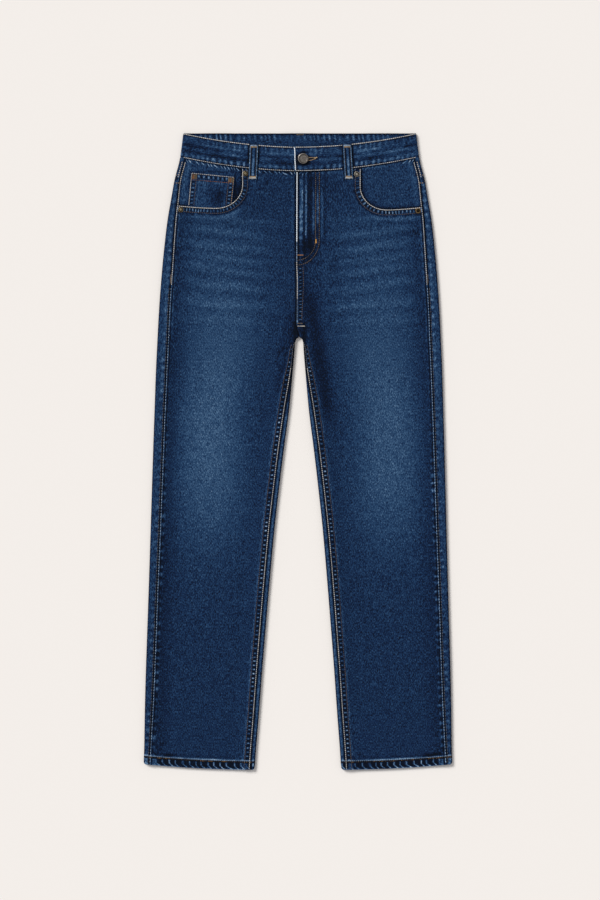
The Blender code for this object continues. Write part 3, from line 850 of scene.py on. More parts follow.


# Wear and painted shade. Sizes in this part are millimetres, as the cloth's wear is measured with a ruler.


@dataclass
class WearAndShade:
    """What a piece's cloth has been through, at each place of its grid, and the shade painted on it."""

    # How pale the cloth is: its fading, less the shade painted beside seams, under edges and in hollows
    fade: Array
    rope: Array
    phase: Array
    relief: Array  # of the outer face alone, such as puckers, in metres
    fold: Array  # of the whole wall, such as creases, in metres

    @classmethod
    def plain(cls, shape: tuple, fade: float = 0.0) -> WearAndShade:
        """Cloth that nothing has happened to yet."""
        return cls(np.full(shape, float(fade)), *(np.zeros(shape) for _ in range(4)))


@dataclass(frozen=True)
class Line:
    """A line along a seam: pale where its strength is positive, where rubbing has worn it; dark where it is
    negative, the narrow lines beside rows and under edges being painted shade, the broad faint ones darker
    dye that rubbing missed.
    """

    place: float  # from the seam's edge
    spread: float
    strength: float
    start: float = -300.0  # where along the seam it runs
    end: float = 2000.0
    patchy: float = 0.3


@dataclass(frozen=True)
class WornAndShaded:
    """How the cloth at a seam is worn and shaded: pale tufts between its two rows, and lines along it, some
    of them painted shade.
    """

    low: float  # the tufts' first and last distance from the seam's edge
    high: float
    strength: float
    pitch: float
    reach: float  # how far the seam rules the tufts' places
    lines: tuple = ()
    soft: float = 1.6
    stray: float = 1.6  # how far a tuft stands from its even place
    patchy: float = 0.35
    welt: float = 0.0  # how wide a strip stands proud
    thin: float = 0.0  # 0 for round tufts, up to 1 for thin ones with wide gaps

    def lay(self, wear: WearAndShade, across: Array, along: Array, window: Array = 1.0,
            seed: float = 0.0, lean: Array = 0.0) -> None:
        """Add this wear, with its painted shade, to a piece's.

        Args:
            wear: What it is added to.
            across: Each place's distance from the seam's edge, in metres.
            along: Each place's run along the seam, in metres.
            window: 1 where the seam is, 0 elsewhere.
            seed: Tells apart seams that are worn alike.
            lean: How far a tuft is shifted along the seam, in millimetres.
        """
        across, run = across / MM, along / MM
        near = (across < self.reach) & (window > 0.02)
        tufts = window * self.strength * plateau(across, self.low, self.high, self.soft)
        tufts = tufts * np.maximum(1 + self.patchy * wander(along, seed), 0.0)
        wear.rope = np.where(near, tufts, wear.rope)
        turns = (run + lean + self.stray * wander(2.3 * along, seed + 4)) / self.pitch
        turns = turns + self.thin * np.sin(2 * math.pi * turns) / (2 * math.pi)
        wear.phase = np.where(near, turns, wear.phase)
        for i, line in enumerate(self.lines):
            strength = line.strength * window * plateau(run, line.start, line.end, 10.0)
            strength = strength * (1 + line.patchy * wander(1.6 * along, seed + 1.3 * i))
            wear.fade = wear.fade + strength * bell(across - line.place, line.spread)
        if self.welt:
            wear.relief = wear.relief + window * 0.4 * MM * plateau(across, 0.0, self.welt, 1.5)
        wear.relief = wear.relief + near * 0.09 * MM * np.clip(tufts, 0, 2) * np.cos(2 * math.pi * wear.phase)


# In these, the narrow dark lines beside rows and under edges are painted shade; the broad faint dark lines,
# the pale lines and the tufts are wear
INSEAM = WornAndShaded(4.2, 6.0, 2.6, 7.0, 13.0, welt=10.5, lines=(
    Line(5.0, 2.8, -0.9, patchy=0.1), Line(11.0, 0.8, 0.8)))
FRONT_SEAM = WornAndShaded(4.8, 6.6, 2.0, 5.8, 12.5, welt=11.0, lines=(
    Line(0.7, 1.0, 1.7), Line(5.4, 2.8, -0.85, patchy=0.1), Line(14.0, 2.0, -0.25)))
FLY_EDGE = WornAndShaded(4.8, 9.6, 0.35, 11.4, 14.0, welt=3.0, soft=3.0, patchy=1.2, stray=5.5, thin=-0.3, lines=(
    Line(0.7, 1.0, 1.7, 92, 330, 0.3), Line(2.9, 1.0, -1.5, patchy=0.1), Line(6.6, 1.3, 0.95, 78, 174, 1.0),
    Line(9.4, 0.9, 0.9, 60, 172, 1.2), Line(7.6, 3.2, -0.3, 0, 70), Line(12.2, 0.9, -1.0),
    Line(15.4, 0.8, 0.6, 60, 168), Line(15.4, 1.1, 1.1, 92, 166), Line(18.6, 1.2, -0.7, 62, 172),
    Line(23.0, 2.6, -0.7, 62, 190), Line(27.4, 1.1, 1.2, 98, 158), Line(34.4, 1.0, 1.3, 98, 148),
    Line(41.0, 1.5, 0.8, 98, 172), Line(45.5, 2.0, -0.4, 60, 190)))
MOUTH = WornAndShaded(3.2, 6.9, 1.9, 5.3, 12.0, welt=10.5, soft=1.0, thin=-0.45, lines=(
    Line(1.9, 0.7, -1.0, patchy=0.1), Line(5.2, 2.6, -0.75, patchy=0.1), Line(7.6, 0.5, -0.5, patchy=0.1),
    Line(11.0, 0.8, -0.8), Line(15.5, 2.2, 0.45, 70, 200, 0.8)))
OUTSEAM = WornAndShaded(2.6, 6.0, 1.1, 13.5, 14.0, soft=3.0, stray=4.0, patchy=0.6, welt=6.0, lines=(
    Line(1.4, 0.6, 1.1), Line(0.0, 0.5, -1.4, patchy=0.0), Line(3.2, 0.8, -1.3, patchy=0.2),
    Line(5.4, 0.6, 0.6, 170, 330, 0.9), Line(11.0, 5.0, -0.15)))
OUTSEAM_BACK = WornAndShaded(3.4, 6.5, 0.6, 13.5, 12.0, soft=3.0, stray=4.0, patchy=0.6, lines=(
    Line(0.4, 1.2, -2.0, patchy=0.0), Line(2.6, 0.6, 0.3), Line(5.4, 1.6, 0.4, 80, 420),
    Line(3.4, 0.6, -0.3)))
INSEAM_BACK = WornAndShaded(0.0, 0.0, 0.0, 7.0, 2.0, lines=(
    Line(0.7, 1.1, -1.9, patchy=0.1), Line(4.6, 1.5, 0.7), Line(4.2, 3.6, -1.3, 300, 385, 0.0)))
HEM_EDGE = WornAndShaded(0.6, 11.0, 2.1, 10.4, 13.5, soft=0.8, stray=2.6, patchy=0.25, thin=0.75, lines=(
    Line(6.0, 4.4, -0.55, patchy=0.1), Line(12.3, 1.1, -1.9, patchy=0.0), Line(15.0, 0.9, 1.7, patchy=0.6),
    Line(18.5, 2.0, -0.2), Line(0.3, 1.1, 1.1, patchy=0.9)))
UNDER_BAND = WornAndShaded(2.2, 4.6, 1.2, 7.0, 9.0, soft=2.0, stray=6.0, patchy=1.8, thin=0.6, lines=(
    Line(0.4, 0.8, -1.3, patchy=0.0), Line(3.0, 1.5, 0.4, patchy=0.9)))
BAND_TOP = WornAndShaded(3.4, 9.0, 0.45, 8.8, 14.0, soft=5.0, stray=4.0, patchy=0.8, lines=(
    Line(2.3, 0.8, -1.0, patchy=0.0), Line(0.0, 0.6, 0.4), Line(12.5, 1.0, 0.42, patchy=2.2),
    Line(17.5, 1.5, -0.4, patchy=1.6), Line(21.5, 1.0, 0.42, patchy=2.2), Line(26.0, 1.4, -0.3, patchy=2.0)))
BAND_FOOT = WornAndShaded(3.0, 7.6, 0.9, 9.2, 14.0, soft=3.0, stray=3.0, patchy=0.8, thin=-0.5, lines=(
    Line(2.3, 0.8, -1.0, patchy=0.0), Line(5.6, 2.2, 0.2), Line(11.0, 2.0, -0.35)))
COIN_EDGE = WornAndShaded(4.0, 6.8, 1.6, 6.6, 11.0, soft=1.2, stray=1.2, welt=11.0, thin=-0.3, lines=(
    Line(2.2, 0.7, -0.6, patchy=0.1), Line(5.6, 2.8, -0.7, patchy=0.1), Line(13.5, 1.3, 0.25, patchy=0.8)))

INSIDE_FADE = 1.75  # the wrong side shows more of the pale weft


def sheet_mesh(name: str, outer: Array, inner: Array) -> bpy.types.Mesh:
    """A closed wall.

    Args:
        name: The mesh's name.
        outer: Points of its outer face, rows by columns by 3.
        inner: Points of its inner face.

    Returns:
        The mesh, the outer face's points first.
    """
    rows, columns = outer.shape[:2]
    behind = rows * columns
    number = np.arange(behind).reshape(rows, columns)
    quads = np.stack([number[:-1, :-1], number[1:, :-1], number[1:, 1:], number[:-1, 1:]], axis=-1)
    quads = quads.reshape(-1, 4)
    starts = np.concatenate([number[:-1, 0], number[-1, :-1], number[1:, -1][::-1], number[0, 1:][::-1]])
    ends = np.roll(starts, -1)
    faces = np.concatenate([quads, quads[:, ::-1] + behind,
                            np.stack([ends, starts, starts + behind, ends + behind], axis=-1)])
    corners = outer.reshape(-1, 3)[quads]
    normals = np.cross(corners[:, 2] - corners[:, 0], corners[:, 3] - corners[:, 1])
    if (normals * (outer - inner).reshape(-1, 3)[quads[:, 0]]).sum() < 0:
        faces = faces[:, ::-1]
    mesh = bpy.data.meshes.new(name)
    mesh.vertices.add(2 * behind)
    mesh.vertices.foreach_set("co", np.stack([outer, inner]).ravel())
    mesh.loops.add(faces.size)
    mesh.loops.foreach_set("vertex_index", np.ascontiguousarray(faces).ravel())
    mesh.polygons.add(len(faces))
    mesh.polygons.foreach_set("loop_start", np.arange(0, faces.size, 4))
    mesh.update(calc_edges=True)
    mesh.validate()
    return mesh


def cloth_piece(node: str, grid: Grid, wear: WearAndShade, finish: Material, rests_on: tuple = (), name: str = "",
                slot: str = "denim", curved: bool = False, inside: Array = INSIDE_FADE,
                inside_rope: float = 0.0) -> Object:
    """One closed sheet of cloth in place of a node's plain solid.

    Args:
        node: The node.
        grid: The sheet's places.
        wear: Its fading, painted shade, puckers and creases.
        finish: Its material.
        rests_on: Names of the pieces that it lies on; not used.
        name: Its name, where it isn't the node's with cloth_ before it.
        slot: Its material slot; not used.
        curved: Whether its rows, bent here, are straight on the flat cloth, as the waistband's are; not used.
        inside: Fade of its inner face, with any shade painted on it.
        inside_rope: Share of the puckers that shows on its inner face.

    Returns:
        The piece's object.
    """
    name = name or f"cloth_{node}"
    mesh = sheet_mesh(name, grid.points(wear.relief + wear.fold), grid.points(wear.fold - grid.thick))
    for key, front, back in (("fade", wear.fade, inside), ("rope", wear.rope, wear.rope * inside_rope),
                             ("phase", wear.phase, wear.phase)):
        mesh.attributes.new(key, "FLOAT", "POINT").data.foreach_set(
            "value", np.stack(np.broadcast_arrays(front, back)).astype(np.float32).ravel())
    mesh.shade_smooth()
    mesh.set_sharp_from_angle(angle=math.radians(50))
    piece = add_piece(name, mesh, finish)
    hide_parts(node)

    return piece


def ramp_steps(start: float, end: float, step: float = PATH_STEP) -> Array:
    """Values from start to end in even steps of about a given size."""
    return np.linspace(start, end, max(2, round(abs(end - start) / step) + 1))


WHISKERS = (  # drop at the middle of the hip, how much it rises for each millimetre outwards, strength
    (138.0, 0.10, 0.6), (159.5, 0.13, 0.95), (184.0, 0.12, 1.0), (202.0, 0.13, 0.75), (221.0, 0.15, 0.95),
    (247.0, 0.13, 0.9), (277.5, 0.08, 0.8), (304.0, 0.06, 0.35),
)
SANDED = np.array((  # drop, strength, middle from the centre line, half width
    (0, .15, 128, 62), (90, .1, 128, 62), (120, .15, 128, 62), (150, .5, 127, 62), (195, .58, 126, 61),
    (240, .6, 125, 60), (280, .74, 124, 58), (330, .76, 125, 53), (400, .93, 134, 46), (450, 1.0, 143, 46),
    (540, .98, 144, 46), (580, .88, 145, 46), (620, .7, 145, 46), (660, .44, 146, 45), (700, .2, 147, 45),
    (745, .08, 147, 45), (800, .03, 148, 44), (1030, 0, 150, 44)))


def leg_fade(side: int, out: Array, drop: Array) -> Array:
    """How pale the front of a leg is: sanded down the thigh to the knee, with whiskers over the hip.

    Args:
        side: RIGHT or LEFT.
        out: Distances out.
        drop: Drops.

    Returns:
        The fade at each place.
    """
    strength, centre, spread = (np.interp(drop / MM, SANDED[:, 0], SANDED[:, i]) for i in (1, 2, 3))
    strength = strength * (0.95 if side == RIGHT else 0.87)
    sanded = strength * np.exp(-np.abs((out / MM - centre) / spread) ** 2.4 * 0.62)
    return sanded + whiskers(side, out, drop) + 0.03


def whiskers(side: int, out: Array, drop: Array) -> Array:
    """The hip's wear creases: pale bands with dark hollows between, -1 to 1 times their strength.

    Args:
        side: RIGHT or LEFT.
        out: Distances out.
        drop: Drops.

    Returns:
        Their fade at each place.
    """
    result = np.zeros(np.broadcast_shapes(out.shape, drop.shape))
    for i, (middle, rise, strength) in enumerate(WHISKERS):
        below = drop / MM - middle - rise * (120 - out / MM) - 2.2 * wander(1.4 * out, i + side)
        reach = plateau(out, 66 * MM, 172 * MM, 32 * MM) * (0.8 + 0.3 * wander(out * 1.3, i * 2.2 + side))
        result = result + 0.31 * strength * reach * (bell(below, 3.9) - 0.85 * bell(below - 11.0, 4.2))
    return result


def welt_share(drop: Array) -> Array:
    """How wide the inseam's welt is: it narrows towards the crotch."""
    return blend(0.4, 1.0, ease((drop - CROTCH) / (85 * MM)))


def leg_drops() -> Array:
    """Drops of a panel's rows below the crotch, closer at the crotch and at the hem.

    Returns:
        The drops.
    """
    near_hem = LENGTH - 22 * MM
    return np.concatenate([
        ramp_steps(CROTCH, WRAPPED, 1.6 * MM), ramp_steps(WRAPPED, near_hem, 2.6 * MM)[1:],
        ramp_steps(near_hem, LENGTH - HEM - GAP, 1.0 * MM)[1:],
        ramp_steps(LENGTH - HEM + GAP, LENGTH, 1.3 * MM)])


@dataclass
class Legs:
    """The front and back panels, from the band and yokes down to the turned-up hems."""

    row_step: float = 2.6 * MM
    # A front's columns: mm from its inner edge, mm from its outer edge and how many between
    near: tuple = (0, 0.5, 1.2, 2.0, 2.9, 3.9, 4.9, 5.9, 7.0, 8.3, 9.8, 11.4, 13.2, 15.4)
    far: tuple = (13.5, 11.0, 9.0, 7.4, 6.0, 4.8, 3.8, 2.9, 2.1, 1.4, 0.7, 0)
    middle: int = 70
    lip: int = 13  # a back's columns on top, round its fold, along its flat and round its inner edge
    fold: int = 10
    flat: int = 44
    edge: int = 17

    def front(self, side: int) -> tuple:
        """A front panel's grid, with its distances from its edges.

        Args:
            side: RIGHT or LEFT.

        Returns:
            The grid, each place's distance from the inner and the outer edge, its row's drop and its level.
        """
        edge = mouth_edge(side, 64)
        inner_top = band_foot(FLY_SEAM) + GAP
        share = np.linspace(0, 1, len(edge))
        rows = [(blend(inner_top, MOUTH_ROW_END, s), *place, max(1 - 2 * s, 0.0))
                for s, place in zip(share, edge)]
        for s in ramp_steps(0, 1, self.row_step / (SEAT_END - MOUTH_ROW_END))[1:]:
            drop = blend(edge[-1][1], SEAT_END, s)
            rows.append((blend(MOUTH_ROW_END, SEAT_END, s), side_seam(drop) - GAP / 2, drop, 0.0))
        rows += [(d, side_seam(d) - GAP / 2, d, 0.0) for d in leg_drops()]
        inner_drop, edge_out, edge_drop, follow = (np.array(column)[:, None] for column in zip(*rows))
        tuck = FLY_TUCK * ease((FLY_TUCK_END - inner_drop) / FLY_TUCK_RUN) if side == RIGHT else 0.0
        limit = np.where(inner_drop >= CROTCH, 0.0, side * front_seam(inner_drop) - tuck)
        start = inner_start(limit, inner_drop)
        bend_run = np.where(inner_drop <= CROTCH, ROUND * math.pi / 2,
                            ROUND * math.pi - seam_run(inner_drop)) - GAP / 2
        length = bend_run + edge_out - start
        near, far = MM * np.array(self.near)[None, :], length - MM * np.array(self.far)
        middle = blend(near[0, -1], far[:, :1], np.linspace(0, 1, self.middle)[None, 1:-1])
        near = np.broadcast_to(near, (len(length), near.size))
        offset = np.concatenate([near, middle, far], axis=1)
        come_in, down, angle = turn(bend_run - offset, inner_drop)
        out = start - come_in
        share = (out - limit) / (edge_out - limit)
        chord = blend(band_foot(limit), band_foot(edge_out), share)
        level = blend(inner_drop, edge_drop, share) + follow * (band_foot(out) - chord)
        height = top_height(side, np.maximum(out, start), level) + front_lift(side, out, level) - down
        rise = np.where(inner_drop > CROTCH, hem_rise(out, inner_drop), 0.0)
        grid = Grid(side, out, level - rise, height, -np.sin(angle), np.cos(angle), cloth_at(inner_drop))
        return grid, offset, length - offset, inner_drop, level

    def front_wear_and_shade(self, side: int) -> tuple:
        """A front panel's grid, with its wear and the shade painted on it.

        Args:
            side: RIGHT or LEFT.

        Returns:
            The grid and the wear.
        """
        grid, from_inner, from_outer, row_drop, level = self.front(side)
        out = grid.out
        wear = WearAndShade.plain(out.shape)
        wear.fade += leg_fade(side, out, level)
        wear.relief += 0.12 * MM * np.sin(out / (37 * MM) + 2 * side) * np.sin(level / (61 * MM) + side)
        wear.fold += whiskers(side, out, level) * 0.8 * MM
        above = row_drop < CROTCH
        legs = ease((row_drop - CROTCH) / (30 * MM))
        INSEAM.lay(wear, from_inner / welt_share(row_drop), row_drop, legs, side)
        # Where shade is painted round the crotch, beside the gap between the legs
        crotch = plateau(level, 312 * MM, 345 * MM, 10 * MM)
        if side == LEFT:
            below = ease((row_drop - FLY_END - 4 * MM) / (8 * MM)) * ease((312 * MM - row_drop) / (6 * MM))
            FRONT_SEAM.lay(wear, from_inner, row_drop, above * below, 3)
            worn = above * (1 - ease((row_drop - FLY_END + 4 * MM) / (10 * MM)))
            FLY_EDGE.lay(wear, from_inner, row_drop, worn, 5)
            wear.fade -= 0.8 * bell(np.hypot(from_inner - 17 * MM, (level - 181 * MM) * 0.7), 8 * MM)
            # Painted shade beside the fly's edge row
            beside_fly = above * plateau(row_drop, 0.0, 215 * MM, 12 * MM)
            wear.fade -= 0.5 * beside_fly * bell(from_inner - 2.8 * MM, 1.1 * MM)
            wear.fade -= 1.1 * crotch * bell(out - 8.4 * MM, 1.8 * MM) + 0.5 * crotch * bell(out, 6 * MM)
            # A crease down the thigh, sunk a little and darkened with painted shade
            crease = blend(16 * MM, 46 * MM, (level - 255 * MM) / (190 * MM))
            hollow = bell(out - crease, 8.5 * MM) * plateau(level, 285 * MM, 430 * MM, 60 * MM)
            # Painted shade in the grooves along the J's two rows
            for bend in J_ROWS:
                wear.fade -= 0.85 * bell(nearest(out, level, fly_j(*bend))[0], 1.4 * MM)
        else:
            edge = out + front_seam(row_drop)  # from the left front's edge, which lies over this one
            # Painted shadow that the left front's edge casts on this one
            wear.fade -= 1.2 * above * bell(edge - 1.2 * MM, 1.2 * MM)
            wear.fade += 0.5 * bell(edge - 6.4 * MM, 1.1 * MM) * plateau(row_drop, 98 * MM, 160 * MM, 12 * MM)
            wear.fade -= 1.2 * crotch * bell(out - 6.4 * MM, 2.0 * MM) + 0.5 * crotch * bell(out, 5 * MM)
            # A crease down the thigh, sunk a little and darkened with painted shade
            crease = blend(12 * MM, 34 * MM, (level - 300 * MM) / (150 * MM))
            hollow = 0.6 * bell(out - crease, 7 * MM) * plateau(level, 312 * MM, 400 * MM, 45 * MM)
        # Painted shade in the crease
        wear.fade -= 0.62 * hollow
        wear.fold -= 0.4 * MM * hollow

        # Outseam, with more of a pucker the lower it is
        below_mouth = ease((row_drop - MOUTH_ROW_END) / (6 * MM))
        OUTSEAM.lay(wear, from_outer, row_drop, below_mouth, 4 + side)
        calm = blend(0.25, 1.0, ease((row_drop - 420 * MM) / (180 * MM)))
        wear.rope = wear.rope * np.where((from_outer < 14 * MM) & (row_drop < LENGTH - HEM), calm, 1.0)
        wear.fade -= 0.12 * below_mouth * plateau(from_outer, 0.0, 22 * MM, 14 * MM)

        # Pocket mouth
        upper = level < 165 * MM
        far, along = nearest(out, np.where(upper, level, OUT_OF_REACH), mouth_edge(side, 30))
        down_side = 1 - 0.5 * ease((52 * MM - along) / (30 * MM))
        MOUTH.lay(wear, far, along * (1.08 if side == RIGHT else 0.93), down_side, 2 + side)
        wear.fade += 0.4 * plateau(far, 3.2 * MM, 6.9 * MM, 1 * MM) * ease((along - 70 * MM) / (40 * MM))

        under = level - band_foot(out)
        UNDER_BAND.lay(wear, under, out, seed=1 + side, lean=0.9 * under / MM)
        # Painted shadow beside the belt loop, on the cloth below the band
        loop = FRONT_LOOPS[0 if side == RIGHT else 1]
        beside = np.abs(out - loop.bottom) - LOOP_WIDTH / 2 - 0.7 * MM
        above_end = ease((BAND + LOOP_BELOW + waist_dip(out) - level) / (2 * MM) + 1)
        wear.fade -= 1.1 * bell(beside, 0.9 * MM) * above_end

        hem = LENGTH - row_drop
        self.hem(wear, side, out, hem)
        # Painted shade along the front's edge at the side seam, within the hem
        wear.fade -= 1.3 * bell(from_outer, 0.8 * MM) * (hem < HEM)
        return grid, wear

    @staticmethod
    def hem(wear: WearAndShade, side: int, out: Array, hem: Array) -> None:
        """Wear a hem: tufts that run down from its row and lean at its edge, and pale seams, with painted
        shade in the small folds above it.

        Args:
            wear: What it is added to.
            side: RIGHT or LEFT.
            out: Each place's distance out.
            hem: Each place's height above the hem's edge.
        """
        lean = -1.25 * np.maximum(5.4 - hem / MM, 0)
        HEM_EDGE.lay(wear, hem, side * out, (hem < 22 * MM) * 1.0, side, lean)
        low, high = (curve(LENGTH) for curve in (inseam, side_seam))
        for place, spread in ((low + 6 * MM, 3.0), (high - 8 * MM, 4.0), (high + 4.5 * MM, 3.4)):
            patch = bell(out - place, spread * MM) * plateau(hem, 2 * MM, 10 * MM, 2 * MM)
            wear.fade += 1.5 * patch
            wear.rope *= 1 - 0.85 * patch
        # Painted shade of small folds that the hem's pull leaves above it, by the outseam
        pull = np.maximum(0.6 + wander(2.6 * out, side), 0)
        pull = pull * plateau(out, high - 38 * MM, high - 8 * MM, 5 * MM)
        wear.fade -= 1.1 * pull * bell(hem - 19 * MM - 2.2 * MM * wander(2.1 * out, 5), 1.7 * MM)

    def back(self, side: int, drops: Array, skews: Array) -> tuple:
        """The grid of a back piece, from the side seam round the outer fold to its inner edge.

        Args:
            side: RIGHT or LEFT.
            drops: Each row's drop at the side seam.
            skews: How much lower each row is at the centre.

        Returns:
            The grid, each place's run from the side seam and back from the inner edge, and its row's drop.
        """
        drop, skew = drops[:, None], skews[:, None]
        low = drop + skew
        seam, centre, start = side_seam(drop) + GAP / 2, outer_fold(drop) - ROUND, inner_start(0.0, low)
        under = centre - seam + ROUND * math.pi  # the run from the seam to where the underside's flat starts
        out = blend(seam, centre, np.linspace(0, 1, self.lip)[None, :-1])
        level = np.maximum(drop - hem_rise(out, drop), band_foot(out) + GAP)
        lip = (out, level, top_height(side, out, drop), 0.0, 1.0, out - seam)
        angle = math.pi / 2 - math.pi * np.linspace(0, 1, self.fold)[None, :]
        out = centre + ROUND * np.cos(angle)
        fold = (out, drop - hem_rise(out, drop), ROUND * (1 + np.sin(angle)), np.cos(angle), np.sin(angle),
                centre - seam + ROUND * (math.pi / 2 - angle))
        out = blend(centre, start, np.linspace(0, 1, self.flat)[None, 1:-1])
        level = drop + skew * (1 - out / centre) - hem_rise(out, drop)
        flat = (out, level, back_lift(side, out, level), 0.0, -1.0, under + centre - out)
        run = (seam_run(low) - GAP / 2) * np.linspace(0, 1, self.edge)[None, :]
        come_in, up, angle = turn(run, low)
        over = np.where(low >= CROTCH, np.maximum(run - ROUND * math.pi, 0.0), 0.0)
        out = start - come_in + over
        level = low - hem_rise(out, drop)
        up = np.where(over > 0, top_height(side, out, low), up + back_lift(side, start, level))
        inner = (out, level, up, -np.sin(angle), -np.cos(angle), under + centre - start + run)
        *places, run = join([lip, fold, flat, inner])
        return Grid(side, *places, cloth_at(drop)), run, run[:, -1:] - run, drop

    def back_wear_and_shade(self, side: int, drops: Array, skews: Array) -> tuple:
        """A back piece's grid, with its wear and the shade painted on it, on the strips that show from above
        and on the seat.

        Args:
            side: RIGHT or LEFT.
            drops: Each row's drop at the side seam.
            skews: How much lower each row is at the centre.

        Returns:
            The grid and the wear.
        """
        grid, run, from_inner, row_drop = self.back(side, drops, skews)
        out, level = grid.out, grid.drop
        under = grid.lean_up < -0.5
        seat = bell(np.hypot((out - 105 * MM) / 1.1, level - 235 * MM), 62 * MM)
        thigh = 0.4 * bell(out - 140 * MM, 40 * MM) * plateau(level, 330 * MM, 520 * MM, 90 * MM)
        wear = WearAndShade.plain(out.shape)
        strip = 0.22 + 0.1 * plateau(row_drop, 0, 600 * MM, 150 * MM)
        wear.fade += np.where(under, 0.12 + 0.6 * seat + thigh, np.where(run < 30 * MM, strip, 0.14))
        top = np.clip(grid.lean_up * 3, 0, 1)
        OUTSEAM_BACK.lay(wear, run, row_drop, top * (run < 30 * MM), 9 + side)
        box = top * plateau(row_drop, 69.5 * MM, 79 * MM, 1.5 * MM) * (run < 14 * MM)
        wear.fade += box * (1.7 * bell(run - 2.4 * MM, 0.9 * MM) - 0.8)
        legs = ease((row_drop - CROTCH) / (4 * MM))
        INSEAM_BACK.lay(wear, from_inner, row_drop, legs * (from_inner < 14 * MM), 6 + side)
        # Painted shade on the right back's strip beside the crotch
        if side == RIGHT:
            wear.fade -= 0.9 * legs * (from_inner < 14 * MM) * plateau(row_drop, 300 * MM, 425 * MM, 40 * MM)
        # Painted shade along the folds, where the cloth turns under
        inner = inner_fold(row_drop) - OUT_OF_REACH * (legs < 0.5)
        for fold in (outer_fold(row_drop), inner):
            wear.fade -= 0.9 * bell(out - fold, 1.1 * MM)
        hem = LENGTH - row_drop
        self.hem(wear, side, out, hem)
        wear.relief = np.where(under, -np.abs(wear.relief), wear.relief)
        return grid, wear

    def make(self, denim: Material) -> list:
        """Args:
            denim: Their finish.

        Returns:
            The pieces.
        """
        made = []
        for side, word in WORDS.items():
            made.append(cloth_piece(
                f"front_panel_{word}", *self.front_wear_and_shade(side), denim,
                (f"cloth_back_{word}", f"cloth_pocket_facing_{word}"), name=f"cloth_front_{word}"))
            seat, legs = ramp_steps(YOKE_SIDE + GAP / 2, SEAT_END, self.row_step), leg_drops()
            skews = np.concatenate([YOKE_POINT * ease(1 - (seat - YOKE_SIDE) / (5 * YOKE_POINT)), 0 * legs])
            made.append(cloth_piece(
                f"back_panel_{word}", *self.back_wear_and_shade(side, np.concatenate([seat, legs]), skews), denim,
                (f"cloth_back_pocket_{word}",), name=f"cloth_back_{word}"))
            share = np.linspace(0, 1, 16)
            drops = blend(BAND + GAP, YOKE_SIDE - GAP / 2, share)
            made.append(cloth_piece(f"yoke_{word}", *self.back_wear_and_shade(side, drops, YOKE_POINT * share), denim))
        return made


